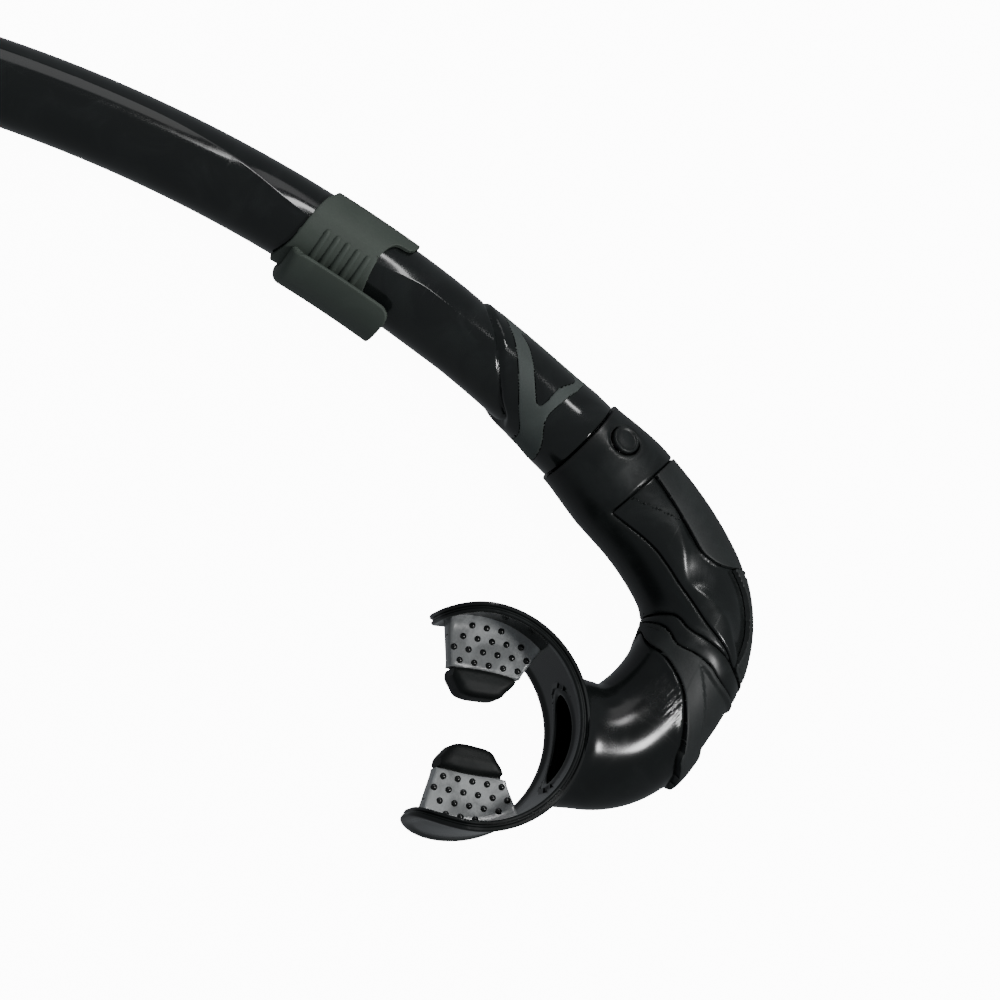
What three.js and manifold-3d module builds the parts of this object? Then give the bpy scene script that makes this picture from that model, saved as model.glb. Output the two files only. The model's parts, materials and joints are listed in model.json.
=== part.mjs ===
// Snorkel with a curved barrel, quick-release collar, purge chamber and contoured mouthpiece.
// It lies on its side: +X follows the barrel at the strap keeper towards the air inlet,
// +Y points to the mouth side of the curve and +Z up off the surface it rests on.
// Tubes are drawn straight, with their axis along +X, and then bent along their centrelines.
import * as THREE from 'three';
import { mergeVertices } from 'three/addons/utils/BufferGeometryUtils.js';
import Module from 'manifold-3d';

const wasm = await Module();
wasm.setup();

// ---------- Driving dimensions, millimetres and degrees ----------
const CLEARANCE = 0.3;            // fixed pieces that touch
const SLIDE_CLEARANCE = 0.4;      // pieces that slide or turn on each other
const SIDES = 20;                 // facets round a tube
const STEP = 10;                  // longest bent step along a tight tube
const BARREL_STEP = 22;           // longest bent step along the barrel

const BARREL_LENGTH = 300;
const BARREL_ARC = 412;           // radius of the barrel's centreline
const BARREL_RADIUS = 12.4;
const BARREL_FOOT_RADIUS = BARREL_RADIUS + 1.8;  // where the barrel meets the collar
const BARREL_FOOT_LENGTH = 45;    // over which it swells
const BARREL_BORE = 10;

const SPIGOT_RADIUS = BARREL_RADIUS - 0.6;
const SPIGOT_BORE = BARREL_BORE - 1;
const SPIGOT_TAIL_WALL = 1.8;     // round the part pushed up into the barrel
const SPIGOT_LENGTH = 19;
const SPIGOT_TAIL = 10;           // length pushed up into the barrel
const LATCH_STATION = 8.5;        // from the collar's mouth to the latch groove
const LATCH_THICKNESS = 2.4;
const LATCH_TRAVEL = 1.5;
const LATCH_RING_WALL = 1.7;
const LATCH_FLAT_WALL = 1.3;      // ring wall left under the button
const BUTTON_RADIUS = 4.3;
const BUTTON_TILT = 17;           // the button leans from +Z towards the outer side
const BUTTON_PROUD = 0.4;
const SPRING_RADIUS = 1.5;
const RING_SEAL_STATION = 15;
const RING_SEAL_SECTION = 0.6;

const COLLAR_RADIUS = BARREL_FOOT_RADIUS + 1.2;  // at its mouth
const COLLAR_SWELL = 1.1;         // the collar's rise over its first part
const CHAMBER_RADIUS = COLLAR_RADIUS + 1.7;
const OUTLET_RADIUS = CHAMBER_RADIUS + 1.9;  // in the plane of the curve
const OUTLET_HEIGHT = CHAMBER_RADIUS - 1.5;  // half height of the oval outlet
const COLLAR_LENGTH = 24;
const SKIN = 2.2;                 // outer shells over the chamber
const TRIM_THICKNESS = 1;         // trim and guard lie on the purge cover
const GUARD_PROUD = 0.6;
const CHAMBER_WALL = 1.9;
const OUTLET_STATION = 104;       // where the chamber's outlet tube ends
const ELBOW_BENDS = [[28, 5], [24, 15], [26, 51], [30, 30], [17, 45.4]];  // length, turn

const VALVE_STATION = 71;
const VALVE_RADIUS = 7;
const VALVE_STEM = 0.9;
const VALVE_LIFT = 1;
const VALVE_DISC = 0.7;

const KEEPER_STATION = 89;        // from the collar seam up the barrel
const KEEPER_WALL = 1.1;
const STRAP_GAP = 3.1;
const FLAP_THICKNESS = 1.7;
const FLAP_HALF_ANGLE = 45;
const FLAP_LENGTH = 36;
const FLAP_OVERHANG = 19.5;       // free end of the flap, before the keeper's station

const FLANGE_RADIUS = 32.6;       // outside of the lip flange
const FLANGE_WALL = 1.7;
const FLANGE_HEIGHT = 33;
const FLANGE_OPENING = 63;        // half angle of the C's open side
const FLANGE_REACH = FLANGE_RADIUS + 4.4;  // from the outlet's end to the C's centre
const FLANGE_END_RADIUS = 14;      // corners of the C's free ends
const BEAD = 1.5;                 // the flange's thick rim stands this far out
const BEAD_HEIGHT = 3.2;
const TAB_THICKNESS = 3;
const PAD_THICKNESS = 1.3;
const LUG_HEIGHT = 11;
const SLOT_LENGTH = 28;
const SLOT_HEIGHT = 15;

const GUARD_RADIUS = BARREL_RADIUS + 4.5;  // splash guard at the air inlet
const GUARD_WALL = 1.6;
const GUARD_LENGTH = 30;

// ---------- Materials ----------
const finish = (color, roughness) => new THREE.MeshStandardMaterial({ color, roughness, metalness: 0 });
const GLOSS_BLACK = 0x0c0d0e;
const SATIN_BLACK = 0x141516;
const MATTE_BLACK = 0x1d1f1f;
const SILICONE_BLACK = 0x101112;
const GREY = 0x6b756f;
const CLEAR_GREY = 0x9a9c9c;
const STEEL = 0xb8bbbe;

// ---------- Geometry helpers ----------
class Spine {
  // A centreline of arcs from a start point: lengths in mm, turns in degrees, left positive.
  constructor(heading, bends) {
    this.pieces = [];
    let x = 0;
    let y = 0;
    let station = 0;
    for (const [length, turn] of bends) {
      this.pieces.push({ x, y, heading, station, length, turn: THREE.MathUtils.degToRad(turn) });
      const end = Spine.along(this.pieces.at(-1), length);
      [x, y, heading] = [end.x, end.y, end.heading];
      station += length;
    }
    this.length = station;
  }

  static along(piece, distance) {
    const bend = piece.turn * distance / piece.length;
    const chord = Math.abs(bend) < 1e-9 ? distance : 2 * Math.sin(bend / 2) * distance / bend;
    const direction = piece.heading + bend / 2;
    return {
      x: piece.x + chord * Math.cos(direction),
      y: piece.y + chord * Math.sin(direction),
      heading: piece.heading + bend,
    };
  }

  at(station) {
    const inside = THREE.MathUtils.clamp(station, 0, this.length);
    const piece = this.pieces.findLast((p) => p.station <= inside);
    const place = Spine.along(piece, inside - piece.station);
    const beyond = station - inside;
    place.x += beyond * Math.cos(place.heading);
    place.y += beyond * Math.sin(place.heading);
    return place;
  }

  point(station, left, up = 0) {
    const { x, y, heading } = this.at(station);
    return new THREE.Vector3(x - left * Math.sin(heading), y + left * Math.cos(heading), up);
  }

  // Frame with X along the centreline, Y to its left and Z up.
  frame(station) {
    const { x, y, heading } = this.at(station);
    return new THREE.Matrix4().makeRotationZ(heading).setPosition(x, y, 0);
  }
}

function solid(geometry) {
  const bare = geometry.clone();
  bare.deleteAttribute('normal');
  bare.deleteAttribute('uv');
  const merged = mergeVertices(bare, 1e-4);
  const index = Array.from(merged.index.array);
  const triangles = [];
  for (let i = 0; i < index.length; i += 3) {
    const [a, b, c] = index.slice(i, i + 3);
    if (a !== b && b !== c && c !== a) triangles.push(a, b, c);
  }
  return new wasm.Manifold(new wasm.Mesh({
    numProp: 3,
    vertProperties: new Float32Array(merged.attributes.position.array),
    triVerts: new Uint32Array(triangles),
  }));
}

function geometryOf(body) {
  const mesh = body.getMesh();
  const geometry = new THREE.BufferGeometry();
  geometry.setAttribute('position', new THREE.BufferAttribute(mesh.vertProperties, 3));
  geometry.setIndex(new THREE.BufferAttribute(mesh.triVerts, 1));
  geometry.computeVertexNormals();
  return geometry;
}

// Bends a geometry drawn along +X onto a spine.
function bend(geometry, spine) {
  const position = geometry.attributes.position;
  for (let i = 0; i < position.count; i += 1) {
    const p = spine.point(position.getX(i), position.getY(i), position.getZ(i));
    position.setXYZ(i, p.x, p.y, p.z);
  }
  return geometry;
}

// Stations from start to end, none further apart than step.
function stations(start, end, step) {
  const count = Math.max(1, Math.ceil((end - start) / step - 1e-6));
  return Array.from({ length: count + 1 }, (_, i) => start + (end - start) * i / count);
}

// A straight line through [station, value] knots.
function between(knots, station) {
  const after = knots.findIndex(([s]) => s >= station);
  if (after <= 0) return after < 0 ? knots.at(-1)[1] : knots[0][1];
  const [s0, v0] = knots[after - 1];
  const [s1, v1] = knots[after];
  return v0 + (v1 - v0) * (station - s0) / (s1 - s0);
}

// A turned profile of [station, radius] points, axis along +X.
function turned(profile, sides = SIDES) {
  const points = profile.map(([station, radius]) => new THREE.Vector2(radius, station));
  return new THREE.LatheGeometry(points, sides).rotateZ(-Math.PI / 2);
}

// A solid bar bent along a spine; height flattens or raises its section.
function bar(spine, start, end, radius, { step = STEP, height = () => 1, marks = [] } = {}) {
  const inner = marks.filter((m) => m > start + 0.5 && m < end - 0.5);
  const edges = [start, ...inner, end];
  const rings = edges.slice(1).flatMap((edge, i) => stations(edges[i], edge, step).slice(i ? 1 : 0));
  const profile = [[start, 0], ...rings.map((s) => [s, radius(s)]), [end, 0]];
  const geometry = turned(profile);
  const position = geometry.attributes.position;
  for (let i = 0; i < position.count; i += 1) {
    position.setZ(i, position.getZ(i) * height(position.getX(i)));
  }
  return solid(bend(geometry, spine));
}

// A plate through the whole height whose outline is [station, left] points on a spine.
function region(spine, outline, low = -30, high = 30) {
  const shape = new THREE.Shape(outline.map(([station, left]) => {
    const p = spine.point(station, left);
    return new THREE.Vector2(p.x, p.y);
  }));
  const plate = new THREE.ExtrudeGeometry(shape, { depth: high - low, bevelEnabled: false });
  return solid(plate.translate(0, 0, low));
}

// Moves each corner of a closed outline outwards by a distance, or inwards when it is negative.
function grown(outline, distance) {
  const area = outline.reduce((sum, [x, y], i) => {
    const [nx, ny] = outline[(i + 1) % outline.length];
    return sum + x * ny - nx * y;
  }, 0);
  const side = Math.sign(area) * distance;
  return outline.map((corner, i) => {
    const here = new THREE.Vector2(...corner);
    const before = here.clone().sub(new THREE.Vector2(...outline.at(i - 1))).normalize();
    const after = new THREE.Vector2(...outline[(i + 1) % outline.length]).sub(here).normalize();
    const normal = new THREE.Vector2(before.y + after.y, -before.x - after.x).normalize();
    const spread = Math.max(0.4, normal.x * after.y - normal.y * after.x);
    return [here.x + normal.x * side / spread, here.y + normal.y * side / spread];
  });
}

// A narrow ribbon through the whole height along an open line, which parts two shells.
function parting(spine, line) {
  const half = CLEARANCE / 2;
  const offset = (side) => line.map(([s, left], i) => {
    const [s0, l0] = line[Math.max(0, i - 1)];
    const [s1, l1] = line[Math.min(line.length - 1, i + 1)];
    const run = Math.hypot(s1 - s0, l1 - l0);
    return [s - side * half * (l1 - l0) / run, left + side * half * (s1 - s0) / run];
  });
  return region(spine, [...offset(1), ...offset(-1).reverse()]);
}

const placed = (geometry, matrix) => solid(geometry.applyMatrix4(matrix));
const box = (x, y, z, at) => new THREE.BoxGeometry(x, y, z).translate(...at);
const rod = (radius, from, to, sides = SIDES) => turned([[from, 0], [from, radius], [to, radius], [to, 0]], sides);

function add(...bodies) {
  return bodies.reduce((sum, body) => sum.add(body));
}

const snorkel = new THREE.Group();
function piece(name, body, color, roughness) {
  const mesh = new THREE.Mesh(geometryOf(body), finish(color, roughness));
  mesh.name = name;
  snorkel.add(mesh);
}

// ---------- Centrelines ----------
const seamHeading = -KEEPER_STATION / BARREL_ARC;
const barrelTurn = THREE.MathUtils.radToDeg(BARREL_LENGTH / BARREL_ARC);
const barrelSpine = new Spine(seamHeading, [[BARREL_LENGTH, barrelTurn]]);
const elbowSpine = new Spine(Math.PI + seamHeading, ELBOW_BENDS.map(([length, turn]) => [length, -turn]));

// ---------- Barrel ----------
const footSwell = BARREL_FOOT_RADIUS - BARREL_RADIUS;
const barrelKnots = [
  [0, BARREL_FOOT_RADIUS],
  [BARREL_FOOT_LENGTH * 0.12, BARREL_FOOT_RADIUS],
  [BARREL_FOOT_LENGTH * 0.3, BARREL_RADIUS + footSwell * 0.6],
  [BARREL_FOOT_LENGTH * 0.6, BARREL_RADIUS + footSwell * 0.35],
  [BARREL_FOOT_LENGTH, BARREL_RADIUS],
];
const barrelRadius = (station) => between(barrelKnots, station);
const barrelBar = (start, end, radius) => bar(barrelSpine, start, end, radius, {
  step: BARREL_STEP,
  marks: barrelKnots.map(([s]) => s).slice(1),
});

const INLAY_DEPTH = 0.9;
const inlayOutline = [
  [11, -20], [43, -20], [42, -10.5], [34.2, -3.7], [23, 8], [15.5, 13], [15.5, 20],
  [6.5, 20], [7.5, 13], [13, 7], [12.8, 0], [11, -10],
];
const inlayWindow = [[34, -9.8], [30.2, -6.4], [19, 5], [16.6, 4.2], [16.4, -2], [14.6, -9.8]];

const tailBore = SPIGOT_BORE + SPIGOT_TAIL_WALL + CLEARANCE;
const inlayRecess = barrelBar(4, BARREL_FOOT_LENGTH + 2, (s) => barrelRadius(s) + 3)
  .subtract(barrelBar(2, BARREL_FOOT_LENGTH + 4, (s) => barrelRadius(s) - INLAY_DEPTH - CLEARANCE))
  .intersect(region(barrelSpine, grown(inlayOutline, CLEARANCE)))
  .subtract(region(barrelSpine, grown(inlayWindow, -CLEARANCE)));
const barrel = barrelBar(0, BARREL_LENGTH, barrelRadius)
  .subtract(barrelBar(-2, BARREL_LENGTH + 2, () => BARREL_BORE))
  .subtract(barrelBar(-2, SPIGOT_TAIL + CLEARANCE, () => tailBore))
  .subtract(inlayRecess);
const inlay = barrelBar(4, BARREL_FOOT_LENGTH + 2, barrelRadius)
  .subtract(barrelBar(2, BARREL_FOOT_LENGTH + 4, (s) => barrelRadius(s) - INLAY_DEPTH))
  .intersect(region(barrelSpine, inlayOutline))
  .subtract(region(barrelSpine, inlayWindow));
piece('barrel', barrel, GLOSS_BLACK, 0.15);
piece('barrel_inlay', inlay, GREY, 0.7);

// ---------- Spigot, seal and quick release ----------
const straight = elbowSpine.frame(0);
const latchHole = SPIGOT_RADIUS + CLEARANCE;
const grooveRadius = latchHole - LATCH_TRAVEL - SLIDE_CLEARANCE;
const latchHalf = LATCH_THICKNESS / 2;
const sealRadius = SPIGOT_RADIUS - RING_SEAL_SECTION - 0.25;
const sealGroove = sealRadius - RING_SEAL_SECTION - 0.2;
const sealHalf = RING_SEAL_SECTION + 0.3;
const spigotProfile = [
  [-SPIGOT_TAIL, SPIGOT_BORE], [-SPIGOT_TAIL, tailBore - CLEARANCE], [CLEARANCE, tailBore - CLEARANCE],
  [CLEARANCE, SPIGOT_RADIUS],
  [LATCH_STATION - latchHalf - SLIDE_CLEARANCE, SPIGOT_RADIUS],
  [LATCH_STATION - latchHalf - SLIDE_CLEARANCE, grooveRadius],
  [LATCH_STATION + latchHalf + SLIDE_CLEARANCE, grooveRadius],
  [LATCH_STATION + latchHalf + SLIDE_CLEARANCE, SPIGOT_RADIUS],
  [RING_SEAL_STATION - sealHalf, SPIGOT_RADIUS], [RING_SEAL_STATION - sealHalf, sealGroove],
  [RING_SEAL_STATION + sealHalf, sealGroove], [RING_SEAL_STATION + sealHalf, SPIGOT_RADIUS],
  [SPIGOT_LENGTH - 1, SPIGOT_RADIUS], [SPIGOT_LENGTH, SPIGOT_RADIUS - 1],
  [SPIGOT_LENGTH, SPIGOT_BORE], [-SPIGOT_TAIL, SPIGOT_BORE],
];
piece('barrel_spigot', placed(turned(spigotProfile), straight), MATTE_BLACK, 0.4);

const sealRing = new THREE.TorusGeometry(sealRadius, RING_SEAL_SECTION, 6, SIDES).rotateY(Math.PI / 2);
piece('spigot_o_ring', placed(sealRing.translate(RING_SEAL_STATION, 0, 0), straight), SILICONE_BLACK, 0.5);

// The release slides along this direction, square to the collar's axis; left is the outer side's
// opposite, so a lean to the outer side turns the frame about the axis by its tilt.
const outward = elbowSpine.pieces[0].turn < 0 ? 1 : -1;
const releaseFrame = straight.clone()
  .multiply(new THREE.Matrix4().makeTranslation(LATCH_STATION, 0, 0))
  .multiply(new THREE.Matrix4().makeRotationX(-outward * THREE.MathUtils.degToRad(BUTTON_TILT)));
const latchOuter = latchHole + LATCH_RING_WALL;
const latchFlat = latchHole + LATCH_TRAVEL + LATCH_FLAT_WALL;
const buttonTop = COLLAR_RADIUS + COLLAR_SWELL + BUTTON_PROUD;
const across = (radius, thickness, up) => rod(radius, -thickness / 2, thickness / 2).translate(0, 0, up);
const latch = solid(across(latchOuter, LATCH_THICKNESS, LATCH_TRAVEL))
  .subtract(solid(across(latchHole, LATCH_THICKNESS + 2, LATCH_TRAVEL)))
  .subtract(solid(box(10, 60, 10, [0, 0, latchFlat + 5])));
const upright = (radius, low, high, sides = SIDES) => rod(radius, low, high, sides).rotateY(-Math.PI / 2);
const button = solid(upright(BUTTON_RADIUS, latchFlat + CLEARANCE, buttonTop));
const inFrame = (body, matrix) => solid(geometryOf(body).applyMatrix4(matrix));
piece('latch_plate', inFrame(latch, releaseFrame), STEEL, 0.35);
piece('release_button', inFrame(button, releaseFrame), SATIN_BLACK, 0.35);

const springTop = -(latchOuter - LATCH_TRAVEL) - CLEARANCE;
const springFoot = -latchOuter - 1.5;
const cavityHalf = latchHalf + SLIDE_CLEARANCE;
const spring = solid(upright(SPRING_RADIUS - CLEARANCE, springFoot + CLEARANCE, springTop, 12))
  .subtract(solid(upright(SPRING_RADIUS - CLEARANCE - 0.6, springFoot - 1, springTop + 1, 12)));
piece('button_spring', inFrame(spring, releaseFrame), STEEL, 0.3);

const releaseCavity = add(
  solid(across(latchOuter + SLIDE_CLEARANCE, 2 * cavityHalf, 0)),
  solid(across(latchOuter + SLIDE_CLEARANCE, 2 * cavityHalf, LATCH_TRAVEL))
    .subtract(solid(box(10, 60, 10, [0, 0, latchFlat + SLIDE_CLEARANCE + 5]))),
  solid(upright(BUTTON_RADIUS + SLIDE_CLEARANCE, latchHole, buttonTop + 4)),
  solid(upright(SPRING_RADIUS, springFoot, 0, 12)),
);

// ---------- Chamber and its outer shells ----------
const outletStart = 88;
const chamberKnots = [
  [0, COLLAR_RADIUS], [10, COLLAR_RADIUS + COLLAR_SWELL], [COLLAR_LENGTH - 5, CHAMBER_RADIUS + 0.3],
  [34, CHAMBER_RADIUS], [60, CHAMBER_RADIUS - 0.3], [outletStart, CHAMBER_RADIUS + 0.2],
  [elbowSpine.length, OUTLET_RADIUS],
];
const chamberRadius = (station) => between(chamberKnots, station);
const chamberHeight = (station) => {
  const out = THREE.MathUtils.clamp((station - 45) / (elbowSpine.length - 45), 0, 1);
  const limit = CHAMBER_RADIUS - 0.2 + (OUTLET_HEIGHT - CHAMBER_RADIUS + 0.2) * out;
  return Math.min(1, limit / chamberRadius(station));
};
const elbowBar = (start, end, inset) => bar(elbowSpine, start, end, (s) => chamberRadius(s) - inset, {
  height: chamberHeight,
  marks: [10, COLLAR_LENGTH - 5, 34, 60, outletStart],
});

// Parting lines between the shells, as [station, left of the centreline]: left is the outer side.
const collarLine = [[COLLAR_LENGTH - 2.5, -30], [COLLAR_LENGTH - 2.5, 0], [COLLAR_LENGTH, 30]];
const coverLine = [[COLLAR_LENGTH - 2.5, -13], [38.5, -10.3], [46, -9.7], [57.5, -8.5], [69.2, -3.5],
  [75.8, 5.3], [80, 13], [82, 30]];
const trimLine = [[COLLAR_LENGTH - 2, 3.8], [40.5, 1.4], [50, 2], [55.5, 9.5], [57, 30]];
const guardLine = [[55.5, 9.5], [62.5, 12], [70, 12.4], [78, 10.2]];
const ringLine = [[65.5, -21], [66.5, -13.2], [72.8, -7.9], [75.2, -2.2], [77.5, 6], [80, 13], [82, 30]];
const finLine = [[66.5, -21], [73, -14.5], [80.2, -9.6], [81, -3.7], [82.2, 2], [84.5, 10], [85, 30]];
const sleeveLine = [[68, -21], [82.2, -16], [85.5, -11.8], [89, -6.8], [93.2, -1.1], [99, 5],
  [103.8, 10.3], [107, 13.8], [109, 19], [109, 30]];

const core = elbowBar(CLEARANCE, OUTLET_STATION, SKIN + CLEARANCE);
const bore = elbowBar(SPIGOT_LENGTH - 0.5, OUTLET_STATION + 1, SKIN + CLEARANCE + CHAMBER_WALL);
const outside = elbowBar(CLEARANCE, elbowSpine.length, 0);
const shell = elbowBar(COLLAR_LENGTH - 3.5, OUTLET_STATION + 8, 0)
  .subtract(elbowBar(COLLAR_LENGTH - 4.5, OUTLET_STATION + 9, SKIN));
const outerEdge = (from, to) => stations(Math.min(from, to), Math.max(from, to), 6)
  .map((station) => [station, 30]).sort((a, b) => Math.sign(to - from) * (a[0] - b[0]));
const coverOutline = [...coverLine, ...outerEdge(79, COLLAR_LENGTH), [COLLAR_LENGTH - 2.5, 0]];
const mouthOutline = [...outerEdge(90, 125), [145, 0], [125, -34]];
const covered = region(elbowSpine, coverOutline);
const pastRing = region(elbowSpine, [...ringLine, ...mouthOutline]);

const valveFrame = elbowSpine.frame(VALVE_STATION)
  .multiply(new THREE.Matrix4().makeRotationZ(Math.PI / 2));
const seatLow = CHAMBER_RADIUS - SKIN - CLEARANCE - CHAMBER_WALL - 2.4;
const seatHigh = seatLow + 1.5;
const discLow = seatHigh + CLEARANCE;
const discHigh = discLow + VALVE_DISC;
const pocketHigh = discHigh + VALVE_LIFT + SLIDE_CLEARANCE;
const valveBore = (depth) => placed(rod(VALVE_RADIUS + CLEARANCE, 0, depth, 20), valveFrame);

const collarBore = turned([[-2, 0], [-2, latchHole], [SPIGOT_LENGTH + CLEARANCE, latchHole],
  [SPIGOT_LENGTH + CLEARANCE, 0]]);
const chamber = outside
  .subtract(add(covered, parting(elbowSpine, coverLine)))
  .subtract(add(pastRing, parting(elbowSpine, ringLine)))
  .add(core)
  .subtract(bore)
  .subtract(placed(collarBore, straight))
  .subtract(inFrame(releaseCavity, releaseFrame))
  .subtract(valveBore(CHAMBER_RADIUS));
piece('chamber_body', chamber, SATIN_BLACK, 0.35);

const partings = add(...[collarLine, coverLine, ringLine, finLine, sleeveLine]
  .map((line) => parting(elbowSpine, line)));
const loose = shell.subtract(partings);
const layer = (inset, proud) => elbowBar(COLLAR_LENGTH - 3.5, OUTLET_STATION, -proud)
  .subtract(elbowBar(COLLAR_LENGTH - 4.5, OUTLET_STATION + 1, inset));
const trimOutline = [...trimLine, ...outerEdge(50, COLLAR_LENGTH)];
const guardOutline = [[57, 30], ...guardLine, [80, 13], [82, 30], ...outerEdge(79, 61)];
const pocket = layer(TRIM_THICKNESS + CLEARANCE, 1);
const cover = loose
  .intersect(region(elbowSpine, coverOutline))
  .subtract(pocket.intersect(region(elbowSpine, grown(trimOutline, CLEARANCE / 2))))
  .subtract(pocket.intersect(region(elbowSpine, grown(guardOutline, CLEARANCE / 2))))
  .subtract(valveBore(pocketHigh));
const trim = layer(TRIM_THICKNESS, 0).subtract(partings)
  .intersect(region(elbowSpine, grown(trimOutline, -CLEARANCE / 2)));
const guard = layer(TRIM_THICKNESS, GUARD_PROUD).subtract(partings)
  .intersect(region(elbowSpine, grown(guardOutline, -CLEARANCE / 2)));
const vents = Array.from({ length: 3 }, (_, i) => placed(
  box(9, 2.2, 3, [CHAMBER_RADIUS, 0, 0]).translate(0, (i - 1) * 5, 0), valveFrame,
));
const ringArea = region(elbowSpine, [...ringLine, [85, 30], ...finLine.slice(0, -1).reverse()]);
const finArea = region(elbowSpine, [...finLine, ...outerEdge(90, 104), ...sleeveLine.slice().reverse()]);
piece('purge_cover', cover, GLOSS_BLACK, 0.25);
piece('cover_trim', trim, MATTE_BLACK, 0.65);
piece('purge_guard', guard.subtract(add(...vents)), MATTE_BLACK, 0.5);
piece('outlet_ring', loose.intersect(ringArea), SATIN_BLACK, 0.4);
piece('outlet_fin', loose.intersect(finArea), MATTE_BLACK, 0.55);

// ---------- Purge valve ----------
const seatPlate = solid(rod(VALVE_RADIUS, seatLow, seatHigh, 20));
const ports = Array.from({ length: 4 }, (_, i) => solid(
  upright(1.7, -2, 2, 10).rotateY(Math.PI / 2).scale(2, 1, 1)
    .translate((seatLow + seatHigh) / 2, VALVE_RADIUS * 0.557, 0).rotateX(Math.PI / 4 + i * Math.PI / 2),
));
const seat = seatPlate.subtract(add(...ports)).subtract(solid(rod(VALVE_STEM + CLEARANCE, seatLow - 1, seatHigh + 1, 10)));
piece('valve_seat', inFrame(seat, valveFrame), MATTE_BLACK, 0.5);
const diaphragm = solid(rod(VALVE_RADIUS - 0.7, discLow, discHigh, 20))
  .add(solid(rod(VALVE_STEM, seatLow - 2.4, discLow + 0.2, 10)))
  .add(solid(rod(VALVE_STEM + 0.8, seatLow - 2.8, seatLow - VALVE_LIFT - CLEARANCE, 10)));
piece('purge_diaphragm', inFrame(diaphragm, valveFrame), CLEAR_GREY, 0.4);

// ---------- Mouthpiece ----------
const mouthFrame = elbowSpine.frame(elbowSpine.length)
  .multiply(new THREE.Matrix4().makeTranslation(FLANGE_REACH, 0, 0));
const openAngle = THREE.MathUtils.degToRad(FLANGE_OPENING);
function arcPlate(inner, outer, low, high, margin = 0) {
  const from = openAngle + margin;
  const to = 2 * Math.PI - openAngle - margin;
  const shape = new THREE.Shape();
  shape.absarc(0, 0, outer, from, to, false);
  shape.absarc(0, 0, inner, to, from, true);
  return new THREE.ExtrudeGeometry(shape, { depth: high - low, bevelEnabled: false, curveSegments: 24 })
    .translate(0, 0, low);
}
const flangeInner = FLANGE_RADIUS - FLANGE_WALL;
const halfFlange = FLANGE_HEIGHT / 2;
// What the rounded corners take off one free end of the C.
function cornersOff(side) {
  const reach = FLANGE_END_RADIUS;
  const edge = new THREE.Shape();
  edge.moveTo(reach, -halfFlange - 1).lineTo(-5, -halfFlange - 1).lineTo(-5, halfFlange + 1);
  edge.lineTo(reach, halfFlange + 1).lineTo(reach, halfFlange);
  edge.absarc(reach, halfFlange - reach, reach, Math.PI / 2, Math.PI, false);
  edge.absarc(reach, reach - halfFlange, reach, Math.PI, 1.5 * Math.PI, false);
  const plate = new THREE.ExtrudeGeometry(edge, { depth: 20, bevelEnabled: false, curveSegments: 8 });
  const axes = new THREE.Matrix4().makeBasis(
    new THREE.Vector3(0, 1, 0), new THREE.Vector3(0, 0, 1), new THREE.Vector3(1, 0, 0),
  );
  plate.translate(0, 0, FLANGE_RADIUS - 10).applyMatrix4(axes).rotateZ(openAngle);
  const cut = solid(plate);
  return side > 0 ? cut : cut.mirror([0, 1, 0]);
}
const flange = add(
  solid(arcPlate(flangeInner, FLANGE_RADIUS, -halfFlange, halfFlange)),
  ...[-1, 1].map((side) => solid(arcPlate(
    flangeInner - BEAD / 2, FLANGE_RADIUS + BEAD / 2,
    side > 0 ? halfFlange - BEAD_HEIGHT : -halfFlange, side > 0 ? halfFlange : -halfFlange + BEAD_HEIGHT,
    0.02,
  ))),
).subtract(add(...[-1, 1].map(cornersOff)));

// One bite tab on the side given by its sign: a tongue from the flange, ending in a lug.
const tabOutline = [
  [-20, FLANGE_RADIUS - 1], [-13, 16], [-11, 15], [5.5, 15], [6.5, 16], [8, FLANGE_RADIUS - 1.6],
];
const lugOutline = [[-11.5, 14.4], [-9.5, 9.6], [-7, 8], [1, 7], [5, 9.5], [6.2, 14.4]];
const mirrored = (outline, side) => outline.map(([x, y]) => new THREE.Vector2(x, side * y));
const slab = (outline, side, thickness) => new THREE.ExtrudeGeometry(
  new THREE.Shape(mirrored(outline, side)), { depth: thickness, bevelEnabled: false },
).translate(0, 0, -thickness / 2);
const tabReach = solid(new THREE.CylinderGeometry(
  FLANGE_RADIUS - FLANGE_WALL / 2, FLANGE_RADIUS - FLANGE_WALL / 2, 20, 40,
).rotateX(Math.PI / 2));
const tab = (side) => solid(slab(tabOutline, side, TAB_THICKNESS)).intersect(tabReach)
  .add(solid(slab(lugOutline, side, LUG_HEIGHT)))
  .add(solid(slab([[-11, 14.2], [-11, 15.2], [5.5, 15.2], [5.5, 14.2]], side, TAB_THICKNESS)));
const padOutline = [[-19.8, FLANGE_RADIUS - 5.4], [-14.4, 15.4], [7.4, 15.4], [9.4, FLANGE_RADIUS + 0.4]];
const padReach = solid(new THREE.CylinderGeometry(
  flangeInner - CLEARANCE, flangeInner - CLEARANCE, 20, 40,
).rotateX(Math.PI / 2));
const pad = (side) => solid(slab(padOutline, side, TAB_THICKNESS + 2 * PAD_THICKNESS))
  .intersect(padReach)
  .subtract(solid(slab(grown(tabOutline, CLEARANCE), side, TAB_THICKNESS + 2 * CLEARANCE)));

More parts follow.
